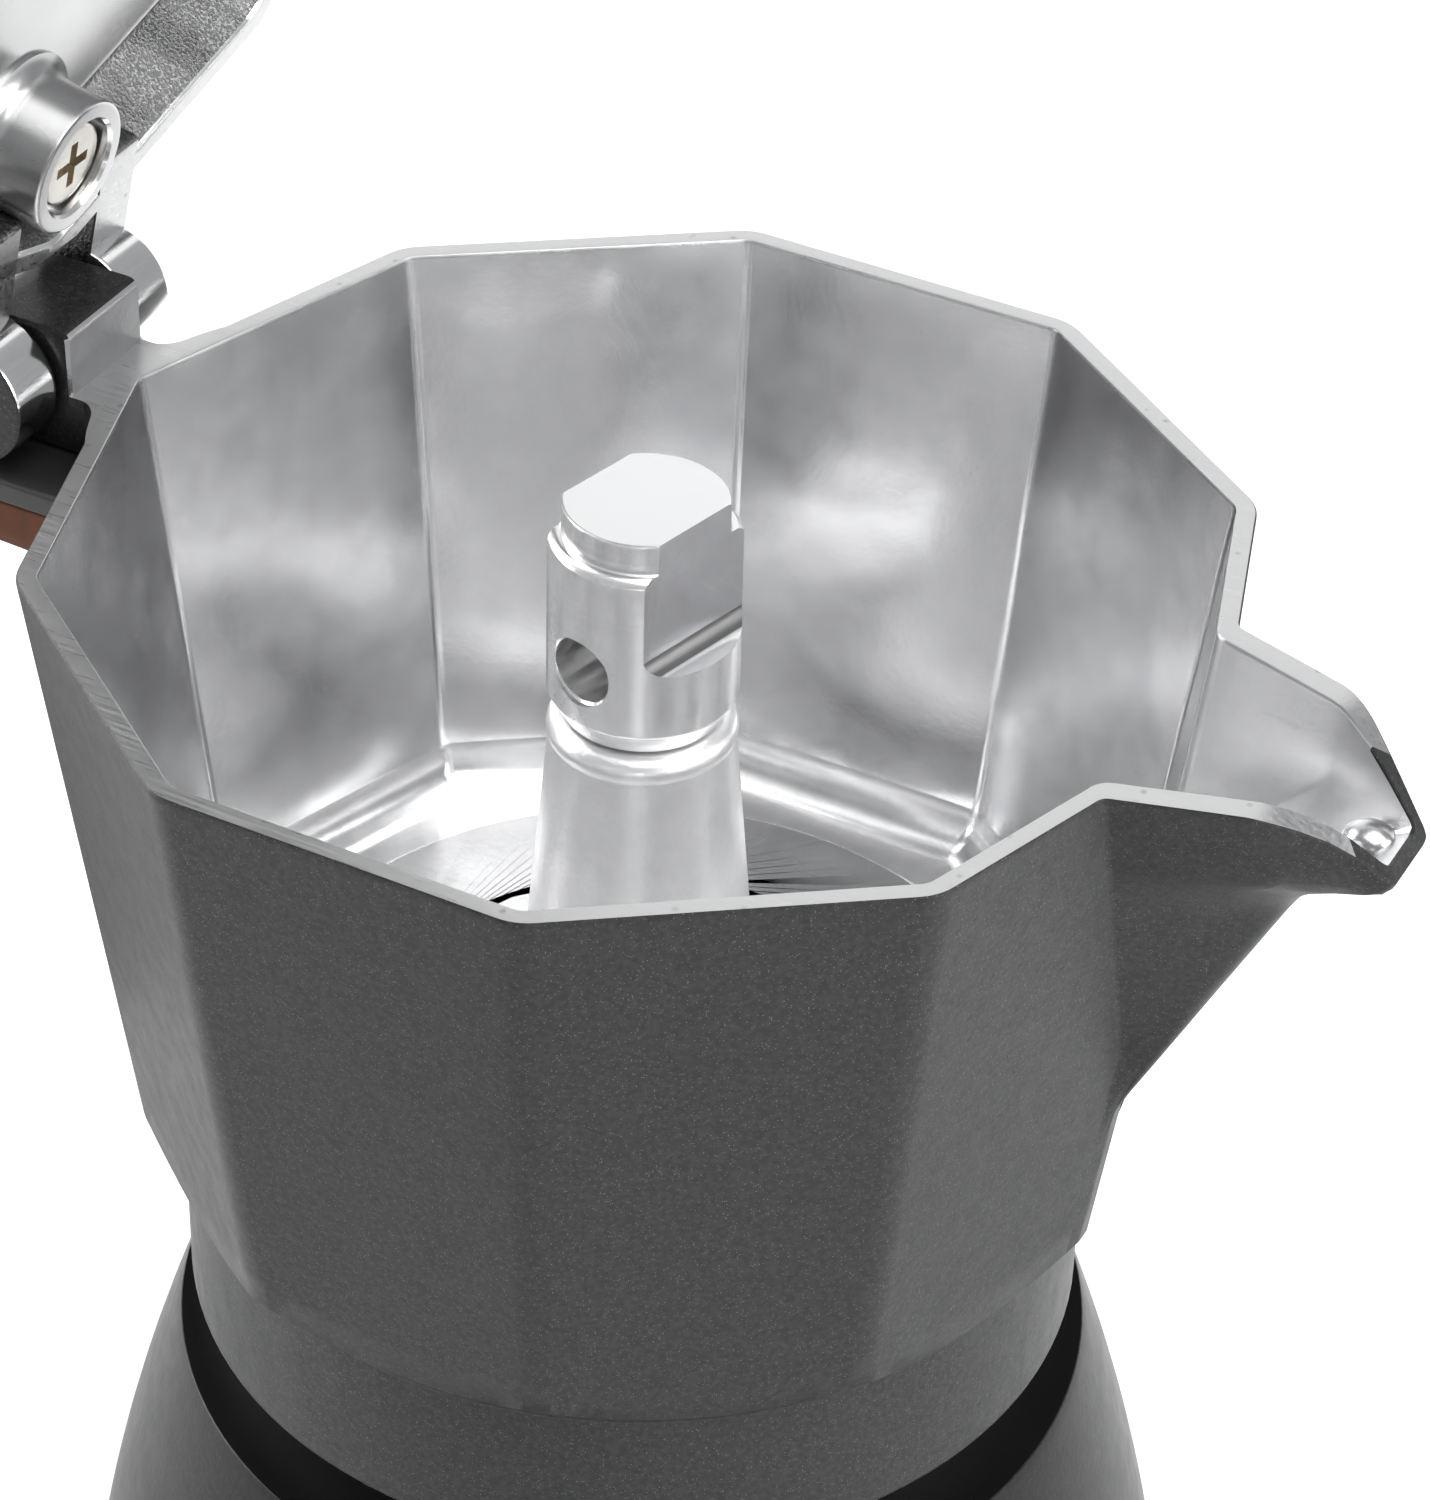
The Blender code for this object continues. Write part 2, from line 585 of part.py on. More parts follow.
def lid(mat):
    """Ten-sided cover with a screw boss and two hinge knuckles, drawn closed and then opened."""
    rows = ((46.0, 9.2), (6.6, 8.4), (5.8, 8.0), (0.5, 2.0), (0.0, 1.2), (0.0, GAP), (1.9, GAP), (2.1, 0.6),
            (6.2, 5.5), (6.9, 5.9), (46.0, 6.3))
    shell = skin("lid", [lid_ring(inset, z) for inset, z in rows], mat)
    for sign in (1, -1):
        inner, outer = sign * KNUCKLE_IN, sign * KNUCKLE_OUT
        arm = [(-44.5, RIM_Z + GAP), (HINGE_X, RIM_Z + GAP), (HINGE_X, HINGE_Z + KNUCKLE_R - 0.1),
               (-52.0, HINGE_Z + KNUCKLE_R - 0.1), (-44.5, RIM_Z + 7.2)]
        join(shell, side_plate("arm_form", arm, min(inner, outer), max(inner, outer), mat))
        ends = rod_profile(KNUCKLE_R, min(inner, outer) - 0.02, max(inner, outer) + 0.02)
        join(shell, lathe("knuckle_form", ends, mat, 28, False, along((0, 1, 0), (HINGE_X, 0, HINGE_Z))))
    boss = ((BOSS_R, -BOSS_END_DEPTH), (BOSS_R, 4.0), (BOSS_R + 0.6, 5.2), (BOSS_R + 1.9, 6.2),
            (BOSS_R + 1.9, 11.6))
    join(shell, lathe("boss_form", [(r, RIM_Z + z) for r, z in boss], mat, 28, False,
                      Matrix.Translation((KNOB_X * MM, 0, 0))))
    cut(shell,
        lathe("boss_recess", [(4.5, RIM_Z - 2.0), (4.5, RIM_Z + 2.2)], None, 24, False,
              Matrix.Translation((KNOB_X * MM, 0, 0))),
        lathe("boss_hole", [(2.3, RIM_Z), (2.3, RIM_Z + 13)], None, 16, False,
              Matrix.Translation((KNOB_X * MM, 0, 0))),
        lathe("knuckle_bore", rod_profile(PIN_R + 0.2, -14, 14), None, 24, False,
              along((0, 1, 0), (HINGE_X, 0, HINGE_Z))),
        lathe("lug_relief", rod_profile(9.8, -KNUCKLE_IN + 0.02, KNUCKLE_IN - 0.02), None, 36, False,
              along((0, 1, 0), (HINGE_X, 0, HINGE_Z))))
    return shell


def knob(wood, brass, steel):
    """Wooden knob, the brass insert in it and the screw that holds it from inside the lid."""
    base = RIM_Z + 11.6 + GAP
    shift = Matrix.Translation((KNOB_X * MM, 0, 0))
    lathe("knob", ((3.4, base), (7.2, base), (8.0, base + 0.8), (7.4, base + 5.0), (8.0, base + 10.0),
                   (9.4, base + 16.0), (9.6, base + 19.0), (8.6, base + 21.6), (6.0, base + 23.2),
                   (1.5, base + 23.8), (1.5, base + 14.5), (3.4, base + 14.5)), wood, 32, True, shift)
    tube = ((2.15, base + 0.3), (3.2, base + 0.3), (3.2, base + 13.8), (2.15, base + 13.8))
    lathe("knob_insert", tube, brass, 20, True, shift)
    stud = ((3.95, RIM_Z + 0.6), (3.95, RIM_Z + 1.9), (2.0, RIM_Z + 1.9), (2.0, base + 12.0))
    screw = lathe("knob_screw", stud, steel, 24, False, shift)
    for turn in (0.0, math.pi / 2):
        slot = box("screw_slot", (-2.2, -0.5, RIM_Z - 1.0), (2.2, 0.5, RIM_Z + 1.3))
        slot.data.transform(shift @ Matrix.Rotation(turn, 4, "Z"))
        cut(screw, slot)


def open_lid(names):
    """Opens the lid and what is on it by parenting them to an empty on the hinge's axis."""
    hinge = bpy.data.objects.new("lid_hinge_axis", None)
    hinge.location = Vector((HINGE_X, 0.0, HINGE_Z)) * MM
    bpy.context.collection.objects.link(hinge)
    back = Matrix.Translation(-hinge.location)
    for obj in list(bpy.data.objects):
        if obj.type == "MESH" and obj.name.startswith(names):
            obj.parent = hinge
            obj.matrix_local = back
    hinge.rotation_euler = (0.0, -LID_OPEN, 0.0)


# ---------------------------------------------------------------- handle

STRAP_PATH = ((-47.0, 6.0), (-68.0, 6.0), (-79.0, 6.2), (-88.0, 8.6), (-94.2, 14.0), (-97.6, 22.0),
              (-99.2, 34.0), (-100.4, 60.0), (-99.6, 84.0), (-97.2, 98.0))
STRAP_WIDTH = (12.0, 12.0, 12.0, 12.0, 11.8, 11.6, 11.2, 10.4, 9.8, 8.6)
GRIP_DEPTH = (6.2, 5.2, 5.8, 8.6, 11.2, 12.6, 13.4, 13.8, 12.6, 9.4)


def smooth_path(values, steps):
    """Catmull-Rom curve through tuples of any length."""
    points = []
    ends = [values[0], *values, values[-1]]
    for p0, p1, p2, p3 in zip(ends, ends[1:], ends[2:], ends[3:]):
        for k in range(steps):
            t = k / steps
            points.append(tuple(
                b + 0.5 * t * (c - a + t * (2 * a - 5 * b + 4 * c - d + t * (3 * b - a - 3 * c + d)))
                for a, b, c, d in zip(p0, p1, p2, p3)))
    points.append(tuple(values[-1]))
    return points


def bar_rings(near, far, rounding, narrow):
    """Rings of a flat bar that follows the handle, between two distances in from its outer face."""
    rows = [(x, d, w, g) for (x, d), w, g in zip(STRAP_PATH, STRAP_WIDTH, GRIP_DEPTH)]
    rows = smooth_path(rows, 2)
    rings = []
    for k, (x, depth, width, grip) in enumerate(rows):
        ahead = rows[min(k + 1, len(rows) - 1)]
        behind = rows[max(k - 1, 0)]
        run = Vector((ahead[0] - behind[0], 0.0, behind[1] - ahead[1])).normalized()
        inward = Vector((-run.z, 0.0, run.x))
        origin = Vector((x, 0.0, RIM_Z - depth))
        top = near(grip)
        low = far(grip)
        half = width - narrow
        flat = half - rounding
        shape = ((-flat, top), (flat, top), (half, top + rounding), (half, low - rounding),
                 (flat, low), (-flat, low), (-half, low - rounding), (-half, top + rounding))
        rings.append([origin + inward * d + Vector((0.0, y, 0.0)) for y, d in shape])
    return rings


def strap_x(depth):
    """Distance along X of the strap's outer face at a depth on its upright part."""
    upright = [point for point in STRAP_PATH if point[1] > 20.0]
    for (x0, d0), (x1, d1) in zip(upright, upright[1:]):
        if depth <= d1:
            return lerp(x0, x1, (depth - d0) / (d1 - d0))
    return upright[-1][0]


def handle(black, wood, steel):
    """Black strap bolted under the hinge lug, with a wooden grip screwed to its inner side."""
    strap = skin("handle_strap", bar_rings(lambda g: 0.0, lambda g: STRAP_THICK, 0.6, 0.0), black)
    grip_rings = bar_rings(lambda g: STRAP_THICK + GAP, lambda g: STRAP_THICK + g, 1.4, 0.5)
    grip = skin("handle_grip", grip_rings, wood)
    wall = OUTER.corner(STRAP_TOP_DEPTH) + 0.45
    corner = [(-wall, 0.0), (-wall + 14 * math.tan(HALF_SIDE), 14.0), (-30.0, 14.0), (-30.0, -14.0),
              (-wall + 14 * math.tan(HALF_SIDE), -14.0)]
    for piece in (strap, grip):
        cut(piece, prism("handle_front_cut", corner, RIM_Z - 25.0, RIM_Z + 5.0, None))
    shift = Matrix.Translation((HANDLE_SCREW_X * MM, 0, 0))
    top = RIM_Z - STRAP_TOP_DEPTH
    cut(strap, lathe("strap_hole", rod_profile(2.3, top - 4, top + 2), None, 16, False, shift))
    cut(grip, lathe("grip_hole", rod_profile(4.3, top - 14, top + 2), None, 20, False, shift))
    head = top - STRAP_THICK - 0.15
    for name, depth in (("grip_screw_upper", 34.0), ("grip_screw_lower", 74.0)):
        place = (strap_x(depth), 0.0, RIM_Z - depth)
        seat = lathe(name + "_seat", ((3.2, -3.0), (3.2, 0.4), (1.75, 1.8), (1.75, 16.0)), None, 20, False,
                     along((1, 0, 0), place))
        cut(strap, seat)
        cut(grip, seat)
        screw = lathe(name, ((2.9, -0.3), (2.9, 0.45), (1.45, 1.9), (1.45, 12.0)), steel, 20, False,
                      along((1, 0, 0), place))
        for turn in (0.0, math.pi / 2):
            slot = box(name + "_slot", (-1.7, -0.35, -1.0), (1.7, 0.35, 0.5))
            slot.data.transform(along((1, 0, 0), place) @ Matrix.Rotation(turn, 4, "Z"))
            cut(screw, slot)
    bolt = ((3.0, head - 2.4), (3.8, head - 1.6), (3.8, head), (1.8, head), (1.8, RIM_Z - 2.0))
    lathe("handle_screw", bolt, steel, 20, False, shift)


def hinge_pin(steel):
    pin = ((PIN_R - 0.3, -11.9), (PIN_R, -11.6), (PIN_R, 11.6), (PIN_R - 0.3, 11.9))
    lathe("hinge_pin", pin, steel, 24, False, along((0, 1, 0), (HINGE_X, 0, HINGE_Z)))


def build():
    clear_scene()
    coat = material("graphite_coat", (0.055, 0.055, 0.058), 0.42, 0.75)
    boiler_coat = material("boiler_coat", (0.05, 0.05, 0.052), 0.38, 0.75)
    cast = material("cast_aluminium", (0.72, 0.72, 0.73), 0.38, 1.0)
    turned = material("turned_aluminium", (0.85, 0.85, 0.86), 0.22, 1.0)
    sheet = material("sheet_aluminium", (0.78, 0.78, 0.79), 0.3, 1.0)
    steel = material("bright_steel", (0.62, 0.62, 0.63), 0.25, 1.0)
    brass = material("brass", (0.78, 0.6, 0.3), 0.3, 1.0)
    rubber = material("white_silicone", (0.8, 0.79, 0.76), 0.6, 0.0)
    washer = material("red_silicone", (0.4, 0.06, 0.04), 0.6, 0.0)
    black = material("black_bracket", (0.02, 0.02, 0.021), 0.45, 0.0)
    wood = material("walnut", (0.27, 0.12, 0.065), 0.5, 0.0)
    boiler(boiler_coat)
    valve(brass, steel, washer, turned)
    funnel(sheet, sheet)
    seals(rubber, sheet)
    upper_chamber(coat)
    column_cap(turned)
    lid(cast)
    knob(wood, brass, steel)
    hinge_pin(steel)
    handle(black, wood, steel)
    open_lid(("lid", "knob", "arm_form", "knuckle", "boss", "screw_slot", "lug_relief"))


build()
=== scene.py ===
"""Looks of the ten-sided stovetop coffee pot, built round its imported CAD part.

Shapes are worked out in millimetres in the part's own frame: +Z up, origin at the centre of the
base, spout towards +X, hinge and handle towards -X. Depths are measured down from the rim.
"""

import json
import math

import bpy
from mathutils import Matrix, Vector

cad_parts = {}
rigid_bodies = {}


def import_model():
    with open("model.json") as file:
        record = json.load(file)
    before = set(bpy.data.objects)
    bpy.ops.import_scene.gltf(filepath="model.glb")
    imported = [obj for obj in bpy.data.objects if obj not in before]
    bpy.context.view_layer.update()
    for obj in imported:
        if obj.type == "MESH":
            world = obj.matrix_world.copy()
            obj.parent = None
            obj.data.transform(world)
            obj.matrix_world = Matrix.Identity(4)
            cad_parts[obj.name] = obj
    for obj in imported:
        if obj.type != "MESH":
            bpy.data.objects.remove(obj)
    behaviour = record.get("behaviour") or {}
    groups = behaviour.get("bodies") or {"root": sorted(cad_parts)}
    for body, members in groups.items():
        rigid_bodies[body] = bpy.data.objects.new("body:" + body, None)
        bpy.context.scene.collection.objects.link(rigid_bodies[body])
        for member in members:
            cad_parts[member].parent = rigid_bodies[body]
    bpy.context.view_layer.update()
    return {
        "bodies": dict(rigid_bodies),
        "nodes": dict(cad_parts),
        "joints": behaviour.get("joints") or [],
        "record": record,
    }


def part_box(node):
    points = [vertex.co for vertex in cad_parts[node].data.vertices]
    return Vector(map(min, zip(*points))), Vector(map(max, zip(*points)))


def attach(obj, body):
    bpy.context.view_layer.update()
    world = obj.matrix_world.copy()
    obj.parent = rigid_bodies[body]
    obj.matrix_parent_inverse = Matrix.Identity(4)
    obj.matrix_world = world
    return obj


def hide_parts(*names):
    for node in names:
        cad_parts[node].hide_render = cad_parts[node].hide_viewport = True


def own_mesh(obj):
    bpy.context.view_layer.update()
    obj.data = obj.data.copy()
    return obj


MM = 0.001
RIM_Z = 150.0

# The ten-sided cup and its spout.
SIDES = 10
HALF_SIDE = math.pi / SIDES
OUTER_CORNER_R = 51.95
INNER_CORNER_R = 50.0
SKIRT_R = 40.55
SKIRT_BOTTOM_DEPTH = 76.8
SKIRT_TOP_DEPTH = 61.05
SEAT_DEPTH = 60.0
CEILING_DEPTH = 57.2
FLOOR_DEPTH = 54.5
FLOOR_FILLET = 4.0
FLOOR_STEP_R = 35.0
FLOOR_STEP = 0.8
PROW_KEEL = ((46.55, 40.9), (59.2, 15.0), (60.3, 13.0), (61.6, 11.4), (63.8, 9.9), (66.0, 9.0),
             (68.0, 8.2), (68.6, 7.1))
CHANNEL_KEEL = ((45.38, 37.0), (56.6, 15.0), (58.6, 11.5), (61.0, 9.4), (64.3, 7.9), (67.7, 6.3))
LIP_START_X = 57.8
LIP_TIP_X = 68.6
LIP_TIP_DEPTH = 7.1
LIP_CURVE = 1.7
TIP_ROUNDING = 1.4
COATED_LIP_X = 64.3
LIP_MOUND = (64.4, 1.9, 142.3)
LIP_MOUND_RADII = (2.3, 2.0, 1.5)

# Column and cap.
COLUMN_TOP_DEPTH = 17.0
COLUMN_TOP_R = 8.05
COLUMN_BASE_R = 10.7
CAP_SEAT_R = 5.3
CAP_R = 8.2
CAP_DISC_R = 7.05
CAP_FLAT = 5.5
CAP_TURN = math.radians(-14.0)

# Thread, boiler and valve spring.
THREAD_PITCH = 3.0
THREAD_HALF_HEIGHT = 0.5
THREAD_FEMALE_R = 37.8
THREAD_MALE_R = 36.8
BOILER_BASE_R = 53.6
BOILER_EDGE_Z = 5.0
SHOULDER_R = 41.9
SHOULDER_Z = 66.3
BOILER_BELLY = 1.9
SPRING_TURNS = 4

# Lid, hinge, knob and handle.
LID_OPEN = math.radians(78.0)
HINGE_X = -60.5
HINGE_Z = RIM_Z + 0.8
KNUCKLE_R = 6.2
KNUCKLE_IN = 6.0
KNUCKLE_OUT = 11.6
LUG_HALF_WIDTH = 5.5
LUG_TOP = 6.3
LUG_FRONT_X = -53.3
PIN_R = 1.6
KNOB_X = -41.2
BOSS_R = 6.2
HANDLE_SCREW_X = -57.6
STRAP_THICK = 2.2
GAP = 0.3
STRAP_PATH = ((-47.0, 6.0), (-68.0, 6.0), (-79.0, 6.2), (-88.0, 8.6), (-94.2, 14.0), (-97.6, 22.0),
              (-99.2, 34.0), (-100.4, 60.0), (-99.6, 84.0), (-97.2, 98.0))
STRAP_WIDTH = (12.0, 12.0, 12.0, 12.0, 11.8, 11.6, 11.2, 10.4, 9.8, 8.6)
GRIP_DEPTH = (6.2, 5.2, 5.6, 7.8, 9.8, 11.6, 13.2, 13.8, 12.6, 9.4)
GRIP_SCREW_DEPTHS = (34.0, 74.0)

# Camera and lights: the lens in millimetres, the places in metres.
CAMERA_LENS = 114.57
CAMERA_PLACE = (0.15486, -0.28805, 0.37141)
CAMERA_RIGHT = (0.8815, 0.4716, 0.0229)
CAMERA_UP = (-0.2974, 0.5170, 0.8026)
CAMERA_AHEAD = (-0.3667, 0.7143, -0.5960)
LIGHT_TARGET = (0.0, 0.0, 0.12)


# ---------------- materials

class Paint:
    """Builds one node material on a Principled shader."""

    def __init__(self, name, color, roughness, metallic, **more):
        self.mat = bpy.data.materials.new(name)
        self.mat.use_nodes = True
        self.tree = self.mat.node_tree
        self.shader = self.tree.nodes["Principled BSDF"]
        self.set(Base_Color=(*color, 1.0), Roughness=roughness, Metallic=metallic, **more)
        self.place = self.tree.nodes.new("ShaderNodeTexCoord").outputs["Object"]

    def set(self, **values):
        for key, value in values.items():
            self.shader.inputs[key.replace("_", " ")].default_value = value

    def add(self, kind, inputs=None, **settings):
        node = self.tree.nodes.new("ShaderNode" + kind)
        for key, value in settings.items():
            setattr(node, key, value)
        for key, value in (inputs or {}).items():
            if isinstance(value, bpy.types.NodeSocket):
                self.tree.links.new(value, node.inputs[key])
            else:
                node.inputs[key].default_value = value
        return node

    def stretched(self, x, y, z):
        return self.add("Mapping", {"Vector": self.place, "Scale": (x, y, z)}).outputs["Vector"]

    def noise(self, scale, detail=2.0, rough=0.5, vector=None):
        return self.add("TexNoise", {"Vector": vector or self.place, "Scale": scale, "Detail": detail,
                                     "Roughness": rough}).outputs["Fac"]

    def times(self, first, second):
        return self.add("Math", {0: first, 1: second}, operation="MULTIPLY").outputs[0]

    def specks(self, scale, fewest, most, core, rim):
        """Round spots with a soft rim, in the cells whose random number is over a limit."""
        cells = self.add("TexVoronoi", {"Vector": self.place, "Scale": scale})
        random = self.add("SeparateColor", {"Color": cells.outputs["Color"]}).outputs["Red"]
        spot = self.ramp(cells.outputs["Distance"], 1.0, 0.0, core, rim)
        return self.times(self.ramp(random, 0.0, 1.0, fewest, most), spot)

    def ramp(self, value, low, high, from_low=0.0, from_high=1.0):
        return self.add("MapRange", {"Value": value, "From Min": from_low, "From Max": from_high,
                                     "To Min": low, "To Max": high}).outputs["Result"]

    def mix(self, value, first, second):
        node = self.add("Mix", data_type="RGBA")
        for key, item in ((0, value), (6, first), (7, second)):
            if isinstance(item, bpy.types.NodeSocket):
                self.tree.links.new(item, node.inputs[key])
            else:
                node.inputs[key].default_value = item if key == 0 else (*item, 1.0)
        return node.outputs[2]

    def feed(self, key, socket):
        self.tree.links.new(socket, self.shader.inputs[key])

    def bump(self, layers):
        """Adds bump layers of (height, strength, distance in metres)."""
        normal = None
        for height, strength, distance in layers:
            inputs = {"Height": height, "Strength": strength, "Distance": distance}
            if normal is not None:
                inputs["Normal"] = normal
            normal = self.add("Bump", inputs).outputs["Normal"]
        self.feed("Normal", normal)


def shaded(color, share):
    return tuple(c * share for c in color)


def coat_paint(name, color, flake, roughness):
    """Dark powder coat with fine bright flakes and a slight orange peel."""
    p = Paint(name, color, roughness, 0.3, Specular_IOR_Level=0.16)
    cloud = p.ramp(p.noise(420.0, 4.0), 0.82, 1.2)
    tone = p.mix(p.ramp(p.noise(1800.0, 2.0), 0.0, 1.0, 0.35, 0.65), shaded(color, 0.82), shaded(color, 1.2))
    p.feed("Base Color", p.mix(p.specks(7200.0, 0.84, 0.99, 0.15, 0.45), tone, flake))
    p.feed("Roughness", p.times(cloud, roughness))
    p.bump(((p.noise(1500.0, 3.0), 0.35, 0.00006), (p.noise(260.0, 2.0), 0.12, 0.0001)))
    return p.mat


def satin_paint(name, color, roughness, spread, grain, wave=0.0, stretch=(1, 1, 1), metal=1.0):
    """Bare aluminium: cloudy roughness, a fine grain and optional slow waviness."""
    p = Paint(name, color, roughness, metal)
    cloud = p.noise(60.0, 3.0, 0.6)
    p.feed("Roughness", p.ramp(cloud, roughness - spread, roughness + spread, 0.2, 0.8))
    stain = p.ramp(p.noise(240.0, 4.0, 0.6), 0.0, 1.0, 0.2, 0.8)
    p.feed("Base Color", p.mix(stain, shaded(color, 0.86), color))
    fine = p.noise(1400.0, 3.0, 0.6, p.stretched(*stretch))
    layers = [(fine, grain, 0.00008)]
    if wave:
        layers.append((p.noise(45.0, 2.0, 0.5), wave, 0.0012))
    p.bump(layers)
    return p.mat


def mottled_paint(name, dark, light, roughness):
    """Bare casting left rough: dark metal with bright grains that crowd into patches."""
    p = Paint(name, light, roughness, 1.0)
    grains = p.ramp(p.noise(3300.0, 3.0, 0.6), 0.0, 1.0, 0.44, 0.66)
    crowd = p.ramp(p.noise(170.0, 3.0, 0.6), 0.0, 1.0, 0.4, 0.62)
    p.feed("Base Color", p.mix(p.times(grains, crowd), dark, light))
    p.feed("Roughness", p.ramp(crowd, roughness - 0.08, roughness + 0.1))
    p.bump(((grains, 0.4, 0.0001), (p.noise(120.0, 3.0), 0.4, 0.0006)))
    return p.mat


def ground_paint():
    """Rim ground flat: bright, finely scratched, with small casting pits."""
    metal = (0.54, 0.54, 0.54)
    p = Paint("ground_rim", metal, 0.3, 1.0)
    scratch = p.noise(3000.0, 2.0, 0.6, p.stretched(0.05, 1.0, 1.0))
    pits = p.specks(900.0, 0.88, 0.9, 0.12, 0.34)
    p.feed("Base Color", p.mix(pits, metal, (0.38, 0.38, 0.38)))
    p.feed("Roughness", p.ramp(scratch, 0.26, 0.42, 0.3, 0.7))
    p.bump(((scratch, 0.25, 0.00003), (p.ramp(pits, 1.0, 0.0), 0.25, 0.00006)))
    return p.mat


def turned_paint(name, color, roughness, rings, metal=1.0):
    """Turned metal: tool rings along the axis that show as fine lines."""
    p = Paint(name, color, roughness, metal)
    lines = p.noise(1.0, 2.0, 0.6, p.stretched(20.0, 20.0, rings))
    p.feed("Roughness", p.ramp(p.noise(200.0, 3.0), roughness * 0.75, roughness * 1.3, 0.15, 0.85))
    p.feed("Base Color", p.mix(p.ramp(lines, 0.0, 1.0, 0.35, 0.65), shaded(color, 0.93), color))
    p.bump(((lines, 0.25, 0.00003), (p.noise(1600.0, 2.0), 0.05, 0.00003)))
    return p.mat


def wood_paint():
    """Brown wood with grain along the handle."""
    p = Paint("oiled_wood", (0.2, 0.08, 0.03), 0.48, 0.0, Specular_IOR_Level=0.12)
    patches = p.noise(35.0, 3.0, 0.6)
    grain = p.noise(1.0, 6.0, 0.65, p.stretched(90.0, 240.0, 14.0))
    pores = p.noise(1.0, 3.0, 0.5, p.stretched(900.0, 1400.0, 60.0))
    tone = p.mix(p.ramp(grain, 0.0, 1.0, 0.3, 0.7), (0.04, 0.012, 0.005), (0.13, 0.046, 0.015))
    tone = p.mix(p.ramp(patches, 0.0, 0.4, 0.35, 0.7), tone, (0.08, 0.026, 0.012))
    p.feed("Base Color", p.mix(p.ramp(pores, 0.0, 0.6, 0.6, 0.75), tone, (0.06, 0.028, 0.018)))
    p.feed("Roughness", p.ramp(grain, 0.4, 0.58))
    p.bump(((pores, 0.3, 0.00008), (grain, 0.15, 0.0001)))
    return p.mat


def matte_paint(name, color, roughness, scale=900.0, shine=0.5):
    """Moulded or painted matt surface with a fine texture."""
    p = Paint(name, color, roughness, 0.0, Specular_IOR_Level=shine)
    p.feed("Base Color", p.mix(p.noise(130.0, 3.0), shaded(color, 0.8), shaded(color, 1.15)))
    p.feed("Roughness", p.ramp(p.noise(300.0, 3.0), roughness - 0.07, roughness + 0.07))
    p.bump(((p.noise(scale, 3.0), 0.25, 0.00006),))
    return p.mat


def perforated_paint():
    """Pressed sheet pierced by a fine square grid of holes, drawn as dark dimples whose dark is painted
    shade.
    """
    metal = (0.78, 0.78, 0.79)
    p = Paint("pierced_sheet", metal, 0.3, 1.0)
    cells = p.add("TexVoronoi", {"Vector": p.stretched(1.0, 1.0, 0.0), "Scale": 620.0, "Randomness": 0.0},
                  voronoi_dimensions="3D")
    hole = p.ramp(cells.outputs["Distance"], 1.0, 0.0, 0.2, 0.26)
    # The holes' near-black colour is painted shade.
    p.feed("Base Color", p.mix(hole, metal, (0.02, 0.02, 0.02)))
    p.feed("Roughness", p.ramp(p.noise(200.0, 3.0), 0.24, 0.4))
    p.bump(((p.ramp(hole, 1.0, 0.0), 0.6, 0.0003),))
    return p.mat


# ---------------- meshes

def lerp(a, b, t):
    return a + (b - a) * t


def table(points, depth):
    """Value at a depth from (value, depth) pairs that run from the deepest to the highest."""
    if depth >= points[0][1]:
        return points[0][0]
    for (v0, d0), (v1, d1) in zip(points, points[1:]):
        if depth >= d1:
            return lerp(v0, v1, (d0 - depth) / (d0 - d1))
    return points[-1][0]


def mesh_object(name, points, faces, bands, mats, turn=None, sharp=38.0):
    """A mesh from points in millimetres, turned right side out, with one material index for each face."""
    mesh = bpy.data.meshes.new(name)
    mesh.from_pydata([Vector(p) * MM for p in points], [], faces)
    if turn is not None:
        mesh.transform(turn)
    for mat in mats:
        mesh.materials.append(mat)
    mesh.polygons.foreach_set("material_index", bands)
    signed = 0.0
    for face in mesh.polygons:
        first = mesh.vertices[face.vertices[0]].co
        for a, b in zip(face.vertices[1:-1], face.vertices[2:]):
            signed += first.dot(mesh.vertices[a].co.cross(mesh.vertices[b].co))
    if signed < 0:
        mesh.flip_normals()
    mesh.shade_smooth()
    mesh.set_sharp_from_angle(angle=math.radians(sharp))
    obj = bpy.data.objects.new(name, mesh)
    bpy.context.scene.collection.objects.link(obj)
    return obj


def skin(name, rings, mats, bands=None, wrap=False, turn=None, sharp=38.0):
    """Closed skin over rings of equal count. bands holds one material index for each gap."""
    count = len(rings[0])
    points = [p for ring in rings for p in ring]
    last = len(rings) if wrap else len(rings) - 1
    bands = bands or [0] * last
    faces = []
    slots = []
    for row in range(last):
        a = row * count
        b = (row + 1) % len(rings) * count
        for k in range(count):
            n = (k + 1) % count
            faces.append((a + k, a + n, b + n, b + k))
            slots.append(bands[row])
    if not wrap:
        faces.append(tuple(reversed(range(count))))
        faces.append(tuple(range((len(rings) - 1) * count, len(rings) * count)))
        slots += [bands[0], bands[-1]]
    return mesh_object(name, points, faces, slots, mats, turn, sharp)


def circle(r, z, angles):
    return [(r * math.cos(a), r * math.sin(a), z) for a in angles]


def even_angles(count):
    return [2 * math.pi * k / count for k in range(count)]


def lathe(name, profile, mats, count=96, turn=None, wrap=False):
    """A profile of (radius, height) pairs turned about Z. A wrapped profile closes on itself as a ring."""
    rings = [circle(r, z, even_angles(count)) for r, z in profile]
    return skin(name, rings, mats, wrap=wrap, turn=turn)


def arc(cx, cy, r, start, end, steps):
    angles = [math.radians(lerp(start, end, k / steps)) for k in range(steps + 1)]
    return [(cx + r * math.cos(a), cy + r * math.sin(a)) for a in angles]


